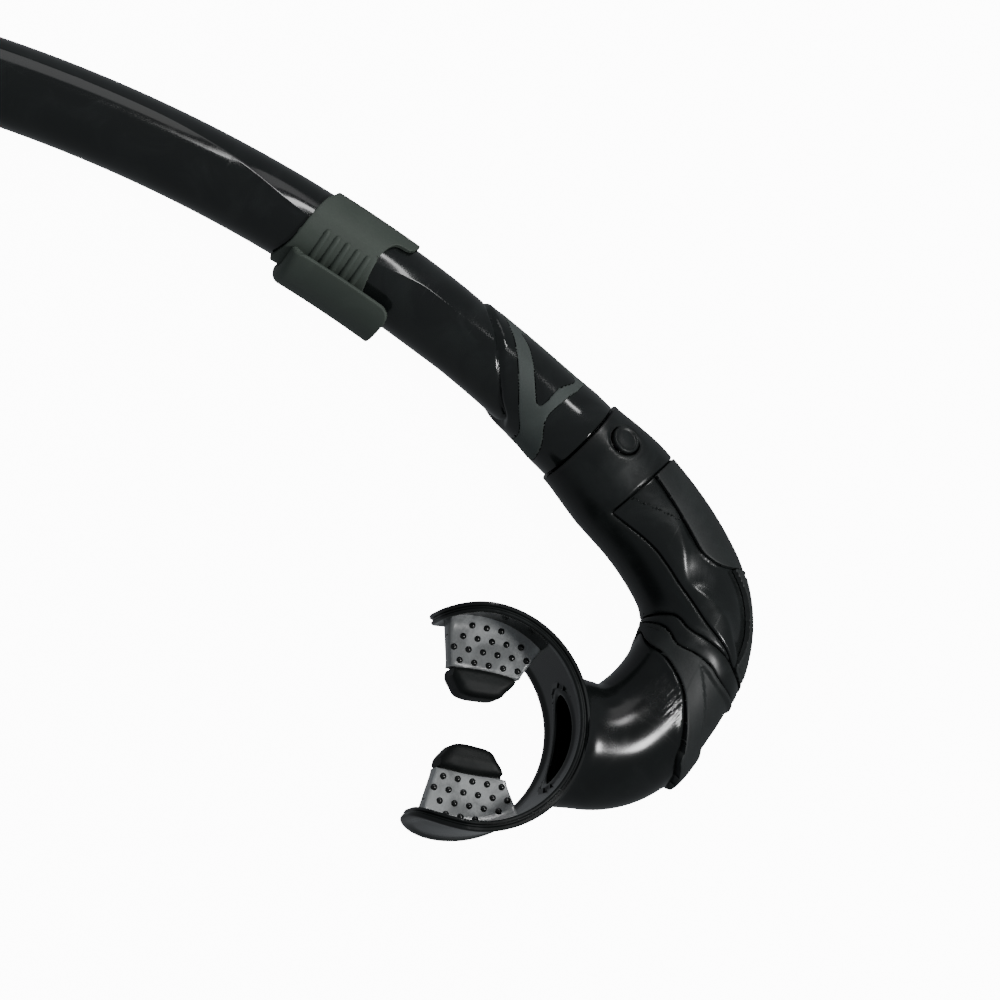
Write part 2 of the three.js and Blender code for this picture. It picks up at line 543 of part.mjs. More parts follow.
const sleeveStart = 78;
const sleeveEnd = elbowSpine.length + 6;
const duct = elbowBar(sleeveStart, sleeveEnd, 0)
  .intersect(region(elbowSpine, [...sleeveLine, ...outerEdge(112, 125), [145, 0], [125, -34]]))
  .subtract(parting(elbowSpine, sleeveLine));
const ductBore = add(
  elbowBar(sleeveStart - 1, OUTLET_STATION + CLEARANCE, SKIN - 0.05),
  elbowBar(OUTLET_STATION, elbowSpine.length, SKIN + CLEARANCE + CHAMBER_WALL),
);
const throat = turned([[-13, 0], [-13, 13], [-6, 12], [12, 10], [12, 0]], 20);
const throatPosition = throat.attributes.position;
for (let i = 0; i < throatPosition.count; i += 1) {
  throatPosition.setY(i, throatPosition.getY(i) * SLOT_LENGTH / 24);
  throatPosition.setZ(i, throatPosition.getZ(i) * SLOT_HEIGHT / 24);
}
throat.translate(-FLANGE_RADIUS, 0, 0);
const insideFlange = solid(new THREE.CylinderGeometry(flangeInner, flangeInner, 60, 48).rotateX(Math.PI / 2));
const mouthpiece = add(
  duct.subtract(inFrame(insideFlange, mouthFrame)),
  inFrame(flange, mouthFrame),
  ...[-1, 1].map((side) => inFrame(tab(side), mouthFrame)),
).subtract(ductBore).subtract(placed(throat, mouthFrame));
piece('mouthpiece', mouthpiece, SILICONE_BLACK, 0.4);
piece('bite_pad_front', inFrame(pad(-1), mouthFrame), CLEAR_GREY, 0.35);
piece('bite_pad_rear', inFrame(pad(1), mouthFrame), CLEAR_GREY, 0.35);

// ---------- Strap keeper ----------
const keeperBore = BARREL_RADIUS + SLIDE_CLEARANCE;
const keeperOuter = keeperBore + KEEPER_WALL;
const flapInner = keeperOuter + STRAP_GAP;
const flapOuter = flapInner + FLAP_THICKNESS;
const keeperFrame = barrelSpine.frame(KEEPER_STATION);
const flapStart = -FLAP_OVERHANG;
const flapEnd = flapStart + FLAP_LENGTH;
const collarOutline = [
  [74, -20], [74, -8], [79.5, -5.4], [82, 0], [81.8, 5], [80, 20], [107.5, 20], [106.2, 8], [102.2, -6], [102, -20],
];
const flapHalf = THREE.MathUtils.degToRad(FLAP_HALF_ANGLE);
function sheet(inner, outer, from, to, halfAngle, facets) {
  const shape = new THREE.Shape();
  const corner = (radius, i) => {
    const angle = -halfAngle + 2 * halfAngle * i / facets;
    return new THREE.Vector2(radius * Math.sin(angle), radius * Math.cos(angle));
  };
  const arc = (radius) => Array.from({ length: facets + 1 }, (_, i) => corner(radius, i));
  shape.setFromPoints([...arc(outer), ...arc(inner).reverse()]);
  // The shape's X becomes height and its Y the mouth side; the depth runs along the barrel.
  const plate = new THREE.ExtrudeGeometry(shape, { depth: to - from, bevelEnabled: false });
  const axes = new THREE.Matrix4().makeBasis(
    new THREE.Vector3(0, 0, 1), new THREE.Vector3(0, 1, 0), new THREE.Vector3(-1, 0, 0),
  );
  return solid(plate.translate(0, 0, -to).applyMatrix4(axes));
}
const keeper = add(
  barrelBar(72, 109, () => keeperOuter).intersect(region(barrelSpine, collarOutline)),
  inFrame(sheet(flapInner, flapOuter, flapStart, flapEnd, flapHalf, 5), keeperFrame),
  inFrame(sheet(keeperOuter - 1.5, flapOuter - 0.2, flapEnd - 2.6, flapEnd, flapHalf * 0.86, 5), keeperFrame),
).subtract(barrelBar(60, 120, () => keeperBore));
piece('keeper_clip', keeper, GREY, 0.75);

// ---------- Splash guard at the air inlet ----------
const inletFrame = barrelSpine.frame(BARREL_LENGTH);
const sleeveInner = BARREL_RADIUS + 2 * CLEARANCE;
const topCollar = turned([
  [-14, sleeveInner], [-14, sleeveInner + 1], [-2, GUARD_RADIUS], [4, GUARD_RADIUS], [4, GUARD_RADIUS - GUARD_WALL],
  [CLEARANCE + 1, GUARD_RADIUS - GUARD_WALL], [CLEARANCE + 1, sleeveInner], [-14, sleeveInner],
]);
piece('inlet_collar', placed(topCollar, inletFrame), SATIN_BLACK, 0.4);

const hoodStart = 4 + CLEARANCE;
const hoodInner = GUARD_RADIUS - GUARD_WALL;
const hoodProfile = [
  [CLEARANCE + 1.4, hoodInner - CLEARANCE - 1.2], [CLEARANCE + 1.4, hoodInner - CLEARANCE],
  [hoodStart, hoodInner - CLEARANCE], [hoodStart, GUARD_RADIUS], [GUARD_LENGTH - 7, GUARD_RADIUS],
  [GUARD_LENGTH - 2, GUARD_RADIUS - 3.5], [GUARD_LENGTH, GUARD_RADIUS - 9], [GUARD_LENGTH, 0],
  [GUARD_LENGTH - GUARD_WALL, 0], [GUARD_LENGTH - GUARD_WALL, GUARD_RADIUS - 9.6],
  [GUARD_LENGTH - 7 - GUARD_WALL, hoodInner - CLEARANCE - 1.2],
  [CLEARANCE + 1.4, hoodInner - CLEARANCE - 1.2],
];
const windows = Array.from({ length: 4 }, (_, i) => solid(
  box(8, 9, 12, [GUARD_LENGTH - 13.5, 0, GUARD_RADIUS]).rotateX(i * Math.PI / 2),
));
const hood = solid(turned(hoodProfile)).subtract(add(...windows));
piece('splash_hood', inFrame(hood, inletFrame), SATIN_BLACK, 0.4);

const vaneRing = solid(turned([
  [-8, BARREL_BORE - CLEARANCE - 1], [-8, BARREL_BORE - CLEARANCE], [-1, BARREL_BORE - CLEARANCE],
  [-1, BARREL_BORE - CLEARANCE - 1], [-8, BARREL_BORE - CLEARANCE - 1],
]));
const vaneCap = solid(turned([[7, 0], [5, 9.6], [6, 9.9], [11, 4], [12, 0]], 20));
const vanePosts = Array.from({ length: 3 }, (_, i) => solid(
  box(9, 2, 1.1, [1.5, 0, BARREL_BORE - CLEARANCE - 0.65]).rotateX(Math.PI / 6 + i * 2 * Math.PI / 3),
));
piece('splash_vane', inFrame(add(vaneRing, vaneCap, ...vanePosts), inletFrame), SATIN_BLACK, 0.5);

// ---------- Stand the part on its surface, centred over the origin ----------
snorkel.updateMatrixWorld(true);
const extent = new THREE.Box3().setFromObject(snorkel, true);
const middle = extent.getCenter(new THREE.Vector3());
snorkel.position.set(-middle.x, -middle.y, -extent.min.z);

export default snorkel;
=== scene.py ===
"""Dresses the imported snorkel: smooth mouldings, soft silicone parts, finishes, floor, light and camera.

Shapes are drawn in millimetres in the plane of the curve, from the seam between barrel and collar,
and are placed in metres around the frame. A tube is drawn on (station, angle): the station runs
along its centreline and the angle is 0 on the left of travel and a quarter turn at the top.
"""
import json
import math

import bpy
import numpy as np
from mathutils import Matrix, Vector


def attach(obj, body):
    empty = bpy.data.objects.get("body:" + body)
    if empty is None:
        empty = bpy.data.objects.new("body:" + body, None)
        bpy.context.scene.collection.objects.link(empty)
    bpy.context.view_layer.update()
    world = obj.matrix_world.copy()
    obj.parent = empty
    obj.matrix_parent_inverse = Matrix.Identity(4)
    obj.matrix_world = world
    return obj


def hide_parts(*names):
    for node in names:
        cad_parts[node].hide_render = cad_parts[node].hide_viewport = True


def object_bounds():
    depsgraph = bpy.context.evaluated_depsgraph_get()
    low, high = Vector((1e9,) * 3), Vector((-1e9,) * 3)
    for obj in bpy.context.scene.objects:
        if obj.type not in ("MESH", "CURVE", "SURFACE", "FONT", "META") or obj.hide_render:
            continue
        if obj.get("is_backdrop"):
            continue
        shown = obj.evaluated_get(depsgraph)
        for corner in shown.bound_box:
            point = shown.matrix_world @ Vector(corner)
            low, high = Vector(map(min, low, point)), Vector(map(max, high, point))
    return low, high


bl_info = {
    "name": "Snorkel dressing",
    "version": (1, 0, 0),
    "blender": (4, 5, 0),
    "location": "3D View > Sidebar > Snorkel",
    "description": "Builds the snorkel's mouldings, silicone parts and finishes around its frame",
    "category": "Object",
}

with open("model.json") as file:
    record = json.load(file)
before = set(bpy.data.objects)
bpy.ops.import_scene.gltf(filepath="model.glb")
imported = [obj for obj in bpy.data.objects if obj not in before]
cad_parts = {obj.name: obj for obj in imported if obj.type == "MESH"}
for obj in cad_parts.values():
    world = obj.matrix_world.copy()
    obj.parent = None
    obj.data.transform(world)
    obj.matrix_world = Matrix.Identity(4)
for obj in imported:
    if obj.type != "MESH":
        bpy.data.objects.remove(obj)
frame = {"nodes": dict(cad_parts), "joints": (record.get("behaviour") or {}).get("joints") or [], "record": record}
CAD_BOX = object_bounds()
JOINTS = {joint["name"]: joint for joint in frame["joints"]}

# ---------- Sizes in millimetres, and angles in degrees ----------
MM = 0.001
SEAM = np.array(JOINTS["lower_unit_swivel"]["pos_m"]) / MM
ARC_CENTRE = np.array(JOINTS["keeper_slide"]["pos_m"]) / MM
BARREL_ARC = float(np.hypot(*(ARC_CENTRE - SEAM)[:2]))
QUARTER = math.pi / 2

BARREL_LENGTH = 300
BARREL_RADIUS = 12.4
BARREL_FOOT_RADIUS = 14.2
BARREL_BORE = 10
KEEPER_STATION = 89
ELBOW_BENDS = ((28, -5), (24, -15), (26, -51), (30, -30), (17, -45.4))
ELBOW_LENGTH = sum(length for length, turn in ELBOW_BENDS)
ELBOW_KNOTS = ((0, 15.4), (10, 16.5), (19, 17.4), (34, 17.1), (60, 16.8), (88, 17.3), (125, 19), (131, 19.4))
SKIN = 2.2
TRIM_THICKNESS = 1.0
GAP = 0.3
CORE_WALL = 1.9
OUTLET_STATION = 104
FLANGE_RADIUS = 32.6
FLANGE_WALL = 1.7
FLANGE_HALF = 16.5
FLANGE_OPENING = 65
FLANGE_END_RADIUS = 14
FLANGE_REACH = 37
SLOT_HALF = (14, 7.5)
GUARD_RADIUS = 16.9
GUARD_WALL = 1.6

# Parting lines on the elbow, as (station, left) points; left is its outer side.
COLLAR_LINE = ((21.5, -30), (21.5, 0), (24, 30))
COVER_LINE = ((21.5, -13), (38.5, -10.3), (46, -9.7), (57.5, -8.5), (69.2, -3.5), (75.8, 5.3),
              (80, 13), (82, 30))
TRIM_LINE = ((21, 3.9), (40.5, 1.4), (50, 2), (55.5, 9.5), (57, 30))
GUARD_LINE = ((55.5, 9.5), (62.5, 12), (70, 12.4), (78, 10.2))
RING_LINE = ((65.5, -21), (66.5, -13.2), (72.8, -7.9), (75.2, -2.2), (77.5, 6), (80, 13), (82, 30))
FIN_LINE = ((66.5, -21), (73, -14.5), (80.2, -9.6), (81, -3.7), (82.2, 2), (84.5, 10), (85, 30))
SLEEVE_LINE = ((68, -21), (82.2, -16), (85.5, -11.8), (89, -6.8), (93.2, -1.1), (99, 5), (103.8, 10.3),
               (107, 13.8), (109.5, 30))
LEAF_LINE = ((12, 18), (25, 5), (30, 2.3), (36.5, 0.2), (44, -2.8), (51, -6.2), (57, -5.8),
             (62, -1.5), (68, 3.6), (76, 9.8), (92, 26))
FIN_LEAF_LINE = ((82, -5), (83.8, -1.2), (88, 2.6), (91.2, 5.9), (95.8, 10.5), (99, 15), (101, 30))
INLAY_OUTLINE = ((11, -30), (43, -30), (42, -10.5), (34.2, -3.7), (23, 8), (15.5, 13), (15.5, 30),
                 (6.5, 30), (7.5, 13), (13, 7), (12.8, 0), (11, -10))
INLAY_WINDOW = ((34, -9.8), (30.2, -6.4), (19, 5), (16.6, 4.2), (16.4, -2), (14.6, -9.8))


# ---------- Shape tools ----------
class Spine:
    """A centreline of arcs from the seam: lengths in mm, turns in degrees, left positive."""

    def __init__(self, heading, bends):
        x = y = station = 0.0
        rows = []
        for length, turn in bends:
            turn = math.radians(turn)
            rows.append((station, x, y, heading, length, turn))
            chord = length * np.sinc(turn / 2 / math.pi)
            x += chord * math.cos(heading + turn / 2)
            y += chord * math.sin(heading + turn / 2)
            heading += turn
            station += length
        self.rows = np.array(rows)
        self.length = station

    def at(self, station):
        """Places x, y and headings at stations; both ends run on straight."""
        station = np.asarray(station, float)
        inside = np.clip(station, 0, self.length)
        row = np.clip(np.searchsorted(self.rows[:, 0], inside, "right") - 1, 0, len(self.rows) - 1)
        start, x, y, heading, length, turn = self.rows[row].T
        bend = turn * (inside - start) / length
        chord = (inside - start) * np.sinc(bend / 2 / math.pi)
        x = x + chord * np.cos(heading + bend / 2)
        y = y + chord * np.sin(heading + bend / 2)
        heading = heading + bend
        beyond = station - inside
        return x + beyond * np.cos(heading), y + beyond * np.sin(heading), heading

    def curvature(self, station):
        row = np.clip(np.searchsorted(self.rows[:, 0], station, "right") - 1, 0, len(self.rows) - 1)
        return self.rows[row, 5] / self.rows[row, 4]

    def place(self, station, left, up):
        """Points of the part, in mm, at stations and offsets to the left and up."""
        x, y, heading = self.at(station)
        return np.stack([x - left * np.sin(heading), y + left * np.cos(heading), up], 1)

    def matrix(self, station):
        """A frame with X along the centreline, Y to its left and Z up."""
        x, y, heading = (float(value) for value in self.at(station))
        return Matrix.Translation((x, y, 0)) @ Matrix.Rotation(heading, 4, "Z")


def smooth_knots(knots):
    """A curve without bumps through (station, value) knots."""
    stations, values = np.array(knots, float).T
    steps = np.diff(values) / np.diff(stations)
    slopes = np.zeros(len(values))
    same = steps[1:] * steps[:-1] > 0
    slopes[1:-1][same] = 2 * steps[1:][same] * steps[:-1][same] / (steps[1:] + steps[:-1])[same]

    def curve(station):
        station = np.clip(station, stations[0], stations[-1])
        i = np.clip(np.searchsorted(stations, station, "right") - 1, 0, len(stations) - 2)
        width = stations[i + 1] - stations[i]
        t = (station - stations[i]) / width
        return ((1 + 2 * t) * (1 - t) ** 2 * values[i] + t * (1 - t) ** 2 * width * slopes[i]
                + t * t * (3 - 2 * t) * values[i + 1] + t * t * (t - 1) * width * slopes[i + 1])
    return curve


def ramp(value, low, high):
    """0 below low, 1 above high and smooth between."""
    t = np.clip((value - low) / (high - low), 0, 1)
    return t * t * (3 - 2 * t)


def hump(value, width):
    """1 at nought, falling smoothly to 0 at a width on both sides."""
    return ramp(-np.abs(value), -width, 0)


def rounded(points, closed=False):
    """A curve through points; a closed one ends where it starts."""
    points = np.array(points, float)
    pieces = 5 if closed else 6
    if closed:
        line = np.vstack([points[-1:], points, points[:2]])
    else:
        line = np.vstack([2 * points[0] - points[1], points, 2 * points[-1] - points[-2]])
    t = np.linspace(0, 1, pieces, endpoint=False)[:, None]
    result = []
    for a, b, c, d in zip(line[:-3], line[1:-2], line[2:-1], line[3:]):
        result.append(b + t * (c - a) / 2 + t**2 * (a - 2.5 * b + 2 * c - d / 2)
                      + t**3 * (b * 1.5 - a / 2 - c * 1.5 + d / 2))
    result = np.vstack(result)
    return np.vstack([result, result[:1] if closed else points[-1:]])


def nearest(points, line, stretch=1.0):
    """Distances from points to a line of segments, and on which side of it they lie."""
    stretch = np.broadcast_to(stretch, len(points))[:, None]
    start, step = line[:-1], np.diff(line, axis=0)
    dx = (points[:, :1] - start[:, 0]) * stretch
    dy = points[:, 1:] - start[:, 1]
    sx, sy = step[:, 0] * stretch, step[:, 1]
    along = np.clip((dx * sx + dy * sy) / (sx * sx + sy * sy + 1e-12), 0, 1)
    ex, ey = dx - along * sx, dy - along * sy
    distance = np.hypot(ex, ey)
    i = distance.argmin(1)
    rows = np.arange(len(points))
    side = sx[rows, i] * dy[rows, i] - sy[i] * dx[rows, i]
    return distance[rows, i], np.where(side >= 0, 1.0, -1.0)


class Tube:
    """A surface of (station, angle) round a spine. The section may be flattened and carry ridges."""

    def __init__(self, spine, radius, height=None, chart_radius=17.0):
        self.spine, self.radius, self.chart_radius = spine, radius, chart_radius
        self.height = height or (lambda station: np.ones_like(station))

    def place(self, p, q, offset):
        r = self.radius(p, q) + offset
        return self.spine.place(p, r * np.cos(q), r * np.sin(q) * self.height(p))

    def chart(self, p, q):
        """Flat coordinates, in mm, in which lines are drawn: both faces share them."""
        q = np.abs((q + math.pi) % (2 * math.pi) - math.pi)
        return np.stack([p, self.chart_radius * (QUARTER - q)], 1)

    def stretch(self, p, q):
        return np.maximum(0.25, 1 - self.spine.curvature(p) * self.radius(p, q) * np.cos(q))

    def flat(self, line):
        """(station, left) points turned into chart points."""
        line = np.array(line, float)
        share = line[:, 1] / self.radius(line[:, 0], np.full(len(line), QUARTER))
        beyond = np.sign(share) * (QUARTER + 0.5)
        angle = np.where(np.abs(share) >= 1, beyond, np.arcsin(np.clip(share, -1, 1)))
        return np.stack([line[:, 0], self.chart_radius * angle], 1)

    def line(self, points):
        """A field that is positive on the left of a line's direction, in mm."""
        line = rounded(self.flat(points))

        def field(p, q):
            distance, side = nearest(self.chart(p, q), line, self.stretch(p, q))
            return distance * side
        return field

    def patch(self, points):
        """A field that is positive inside a closed outline."""
        line = rounded(self.flat(points), closed=True)

        def field(p, q):
            chart = self.chart(p, q)
            distance, _ = nearest(chart, line, self.stretch(p, q))
            return np.where(inside_outline(chart, line), distance, -distance)
        return field


class Plate:
    """A flat or bent sheet given by a function from (p, q, offset) to points."""

    def __init__(self, place):
        self.place = place


def inside_outline(points, line):
    """True for the points inside a closed line."""
    x, y = points[:, :1], points[:, 1:]
    x0, y0 = line[:-1, 0], line[:-1, 1]
    x1, y1 = line[1:, 0], line[1:, 1]
    crosses = (y0 > y) != (y1 > y)
    with np.errstate(divide="ignore", invalid="ignore"):
        meets = x < (x1 - x0) * (y - y0) / (y1 - y0) + x0
    return (crosses & meets).sum(1) % 2 == 1


def outline(points):
    """A field on plain (p, q) coordinates, positive inside a closed rounded outline."""
    line = rounded(points, closed=True)

    def field(p, q):
        chart = np.stack([p, q], 1)
        distance, _ = nearest(chart, line)
        return np.where(inside_outline(chart, line), distance, -distance)
    return field


def slab_field(half_p, half_q, corner, centre=(0, 0)):
    """A field that is positive inside a rectangle with round corners."""
    def field(p, q):
        dp = np.abs(p - centre[0]) - half_p + corner
        dq = np.abs(q - centre[1]) - half_q + corner
        return corner - np.hypot(np.maximum(dp, 0), np.maximum(dq, 0)) - np.minimum(np.maximum(dp, dq), 0)
    return field


def both(*fields):
    return lambda p, q: np.minimum.reduce([field(p, q) for field in fields])


def either(*fields):
    return lambda p, q: np.maximum.reduce([field(p, q) for field in fields])


def without(field, margin=0.0):
    return lambda p, q: -field(p, q) - margin


def inset(field):
    """The same area, drawn in by half the gap between two pieces."""
    return lambda p, q: field(p, q) - GAP / 2


def steady(offset):
    """An offset that is the same everywhere."""
    return lambda p, q, d: offset + 0 * d


def within(low, high):
    """Positive between two stations."""
    return lambda p, q: np.minimum(p - low, high - p)


def edge_drop(distance, size):
    """How far a rounded edge falls away at a distance from it."""
    t = np.clip(distance / size, 0, 1)
    return size * (1 - np.sqrt(np.maximum(0, 1 - (1 - t) ** 2)))


def edge_levels(size):
    return tuple(size * share for share in (0, 0.06, 0.25, 0.6, 1))


def cut(points, faces, field, levels, keep_above=None):
    """Splits faces where a field crosses levels, so that edges follow its lines."""
    points = list(map(tuple, points))
    values = field(*np.array(points).T)
    for level in levels:
        points, values, faces = cut_level(points, values, faces, field, level)
    if keep_above is not None:
        faces = [f for f in faces if sum(values[i] for i in f) / len(f) > keep_above]
    return np.array(points), faces


def cut_level(points, values, faces, field, level):
    spots = np.array(points)
    near = settle(spots, values, field, level)
    values[near] = level
    points = list(map(tuple, spots))
    signs = np.sign(values - level).astype(int).tolist()
    new, edges, result = {}, [], []

    def middle(a, b):
        key = (a, b) if a < b else (b, a)
        if key not in new:
            new[key] = len(points) + len(edges)
            edges.append(key)
            signs.append(0)
        return new[key]

    for face in faces:
        marks = [signs[i] for i in face]
        if max(marks) <= 0 or min(marks) >= 0:
            result.append(face)
            continue
        loop = []
        for a, b in zip(face, face[1:] + face[:1]):
            loop.append(a)
            if signs[a] * signs[b] < 0:
                loop.append(middle(a, b))
        on = [k for k, i in enumerate(loop) if signs[i] == 0]
        if len(on) == 2 and 1 < on[1] - on[0] < len(loop) - 1:
            result.append(tuple(loop[on[0]:on[1] + 1]))
            result.append(tuple(loop[on[1]:] + loop[:on[0] + 1]))
        else:
            result.append(tuple(loop))
    if edges:
        a, b = np.array(edges).T
        low, high = spots[a], spots[b]
        value_low, value_high = values[a] - level, values[b] - level
        for _ in range(3):
            t = (value_low / (value_low - value_high))[:, None]
            middle_points = low + (high - low) * np.clip(t, 0.03, 0.97)
            value = field(*middle_points.T) - level
            same = np.sign(value) == np.sign(value_low)
            low = np.where(same[:, None], middle_points, low)
            value_low = np.where(same, value, value_low)
            high = np.where(same[:, None], high, middle_points)
            value_high = np.where(same, value_high, np.where(value == 0, -1e-9 * np.sign(value_low), value))
        points += list(map(tuple, middle_points))
        values = np.concatenate([values, np.full(len(edges), level)])
    return points, values, result


def settle(spots, values, field, level, reach=0.13):
    """Moves points that lie close to a level onto it, and says which they are."""
    low, high = spots.min(0), spots.max(0)
    free = ((spots > low + 1e-6) & (spots < high - 1e-6)).all(1)
    near = np.flatnonzero(free & (np.abs(values - level) < reach))
    if len(near) == 0:
        return near
    move, slope = gradient(spots[near], values[near], field)
    shift = move * ((level - values[near]) / slope)[:, None]
    good = (np.abs(shift[:, 0]) < 0.45) & (slope > 1e-3)
    spots[near[good]] += shift[good]
    return near[good]


def gradient(spots, values, field, small=0.02):
    """The direction in (p, q) in which a field grows, and how fast."""
    by_p = (field(spots[:, 0] + small, spots[:, 1]) - values) / small
    by_q = (field(spots[:, 0], spots[:, 1] + small / 10) - values) / (small / 10)
    move = np.stack([by_p, by_q], 1)
    return move, (move**2).sum(1)


def grid(rows, columns):
    """Points and faces of a plain grid."""
    p, q = np.meshgrid(rows, columns, indexing="ij")
    wide = len(columns)
    faces = [(i * wide + j, (i + 1) * wide + j, (i + 1) * wide + j + 1, i * wide + j + 1)
             for i in range(len(rows) - 1) for j in range(wide - 1)]
    return np.stack([p.ravel(), q.ravel()], 1), faces


def shell(surface, rows, columns, domain, outer, inner, edge=0.4, features=(), groove=()):
    """A closed shell over the part of a surface where the domain is positive.

    outer and inner give offsets from the surface for (p, q, distance to the edge). Features are
    (field, levels) along whose lines the shell gets edges. A groove lists (share of the wall,
    depth) along the rim.
    """
    points, faces = grid(rows, columns)
    for field, levels in features:
        points, faces = cut(points, faces, field, levels)
    points, faces = cut(points, faces, domain, edge_levels(edge), keep_above=0)
    used = sorted({i for face in faces for i in face})
    number = {old: new for new, old in enumerate(used)}
    points = points[used]
    p, q = points.T
    distance = np.maximum(domain(p, q), 0)
    above = outer(p, q, distance)
    below = inner(p, q, distance)
    top = surface.place(p, q, above)
    bottom = surface.place(p, q, below)
    welded = weld(top, [[number[i] for i in face] for face in faces], 3)
    sides = {}
    for face in welded:
        for a, b in zip(face, face[1:] + face[:1]):
            sides[(a, b)] = sides.get((a, b), 0) + 1
    rim = [(a, b) for a, b in sides if (b, a) not in sides]
    count = len(points)
    vertices = [top, bottom]
    loops = [{i: i for i in range(count)}]
    if groove and rim:
        on_rim = sorted({i for pair in rim for i in pair})
        move, slope = gradient(points[on_rim], domain(*points[on_rim].T), domain)
        for share, depth in groove:
            spots = points[on_rim] + move * (depth / slope)[:, None]
            offset = above[on_rim] + (below[on_rim] - above[on_rim]) * share
            start = sum(map(len, vertices))
            vertices.append(surface.place(*spots.T, offset))
            loops.append({i: start + k for k, i in enumerate(on_rim)})
    loops.append({i: i + count for i in range(count)})
    result = list(welded) + [tuple(i + count for i in reversed(face)) for face in welded]
    for a, b in rim:
        for upper, lower in zip(loops, loops[1:]):
            result.append((upper[b], upper[a], lower[a], lower[b]))
    vertices = np.vstack(vertices)
    stations = np.zeros((len(vertices), 2))
    stations[:count], stations[count:2 * count] = points, points
    return vertices, result, stations


def weld(vertices, faces, digits):
    """Joins points that lie in one place and drops the faces that this closes up."""
    keys = {}
    same = [keys.setdefault(tuple(spot), i) for i, spot in enumerate(np.round(vertices, digits).tolist())]
    welded = []
    for face in faces:
        loop = [same[i] for i in face]
        loop = [i for k, i in enumerate(loop) if i != loop[k - 1]]
        if len(set(loop)) > 2:
            welded.append(tuple(loop))
    return welded


def tidy(vertices, faces, stations):
    """Drops unused points and turns the whole body so that its faces point out."""
    used = sorted({i for face in faces for i in face})
    number = {old: new for new, old in enumerate(used)}
    vertices = vertices[used]
    faces = [tuple(number[i] for i in face) for face in faces]
    volume = 0.0
    for face in faces:
        a = vertices[face[0]]
        for b, c in zip(face[1:], face[2:]):
            volume += float(np.dot(a, np.cross(vertices[b], vertices[c])))
    if volume < 0:
        faces = [tuple(reversed(face)) for face in faces]
    return vertices, faces, stations[used]


def new_piece(name, parts, body, slot, nodes, second_finish=(), sharp=38):
    """A mesh object made of shells given in mm from the seam; it rides on a body."""
    vertices, faces, stations, slots = [], [], [], []
    count = 0
    for part in parts:
        spots, loops, marks = tidy(*part[:3])
        vertices.append(spots)
        stations.append(marks)
        faces += [tuple(i + count for i in face) for face in loops]
        slots += [part[3] if len(part) > 3 else 0] * len(loops)
        count += len(spots)
    mesh = bpy.data.meshes.new(name)
    mesh.from_pydata(((np.vstack(vertices) + SEAM) * MM).tolist(), [], faces)
    mesh.update()
    along = mesh.attributes.new("along", "FLOAT_VECTOR", "POINT")
    marks = np.vstack(stations)
    along.data.foreach_set("vector", np.column_stack([marks, np.zeros(len(marks))]).ravel())
    for name_of_finish in (slot, *second_finish):
        mesh.materials.append(finish(name_of_finish))
    mesh.polygons.foreach_set("material_index", slots)
    mesh.shade_smooth()
    mesh.set_sharp_from_angle(angle=math.radians(sharp))
    piece = bpy.data.objects.new(name, mesh)
    bpy.context.scene.collection.objects.link(piece)
    return dress(piece, body, slot, nodes)


def dress(piece, body, slot, nodes=()):
    """Says what a finished piece rides on and stands for; its slot, what it is made of, is not used."""
    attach(piece, body)
    if nodes:
        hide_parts(*nodes)
    return piece


def turned_body(profile, matrix, sides=96):
    """A closed turned body about a frame's X axis from a closed (along, radius) profile."""
    profile = np.array(profile, float)
    angle = np.linspace(0, 2 * math.pi, sides, endpoint=False)
    rows = []
    for along, radius in profile:
        rows.append(np.column_stack([np.full(sides, along), radius * np.cos(angle), radius * np.sin(angle)]))
    faces = []
    count = len(profile)
    for i in range(count):
        j = (i + 1) % count
        for k in range(sides):
            m = (k + 1) % sides
            faces.append((i * sides + k, j * sides + k, j * sides + m, i * sides + m))
    vertices = np.vstack(rows)
    return transformed(vertices, matrix), weld(vertices, faces, 4), vertices[:, :2]


def transformed(vertices, matrix):
    matrix = np.array(matrix)
    return vertices @ matrix[:3, :3].T + matrix[:3, 3]


def softened(profile, size=0.4, steps=3):
    """A closed profile with its corners rounded by about a size."""
    profile = np.array(profile, float)
    result = []
    for before, here, after in zip(np.roll(profile, 1, 0), profile, np.roll(profile, -1, 0)):
        if here[1] < 1e-6:
            result.append(here)
            continue
        reach = [min(size, np.linalg.norm(other - here) * 0.45) for other in (before, after)]
        a = here + (before - here) / (np.linalg.norm(before - here) + 1e-9) * reach[0]
        b = here + (after - here) / (np.linalg.norm(after - here) + 1e-9) * reach[1]
        for t in np.linspace(0, 1, steps + 1):
            result.append((1 - t) ** 2 * a + 2 * t * (1 - t) * here + t * t * b)
    return np.array(result)


# ---------- Finishes ----------
def node(tree, kind, inputs=None, **settings):
    made = tree.nodes.new(kind)
    for name, value in settings.items():
        setattr(made, name, value)
    for name, value in (inputs or {}).items():
        made.inputs[name].default_value = value
    return made


def group(name, inputs, outputs):
    """An empty shader group with float sockets, and its two ends."""
    tree = bpy.data.node_groups.new(name, "ShaderNodeTree")
    for socket, value in inputs.items():
        made = tree.interface.new_socket(socket, in_out="INPUT", socket_type="NodeSocketFloat")
        made.default_value = value
    for socket in outputs:
        tree.interface.new_socket(socket, in_out="OUTPUT", socket_type="NodeSocketFloat")
    return tree, tree.nodes.new("NodeGroupInput"), tree.nodes.new("NodeGroupOutput")


def stretched(tree, scale):
    """Object coordinates, stretched by a vector."""
    coordinates = node(tree, "ShaderNodeTexCoord")
    mapping = node(tree, "ShaderNodeMapping", {"Scale": scale})
    tree.links.new(coordinates.outputs["Object"], mapping.inputs["Vector"])
    return mapping.outputs["Vector"]


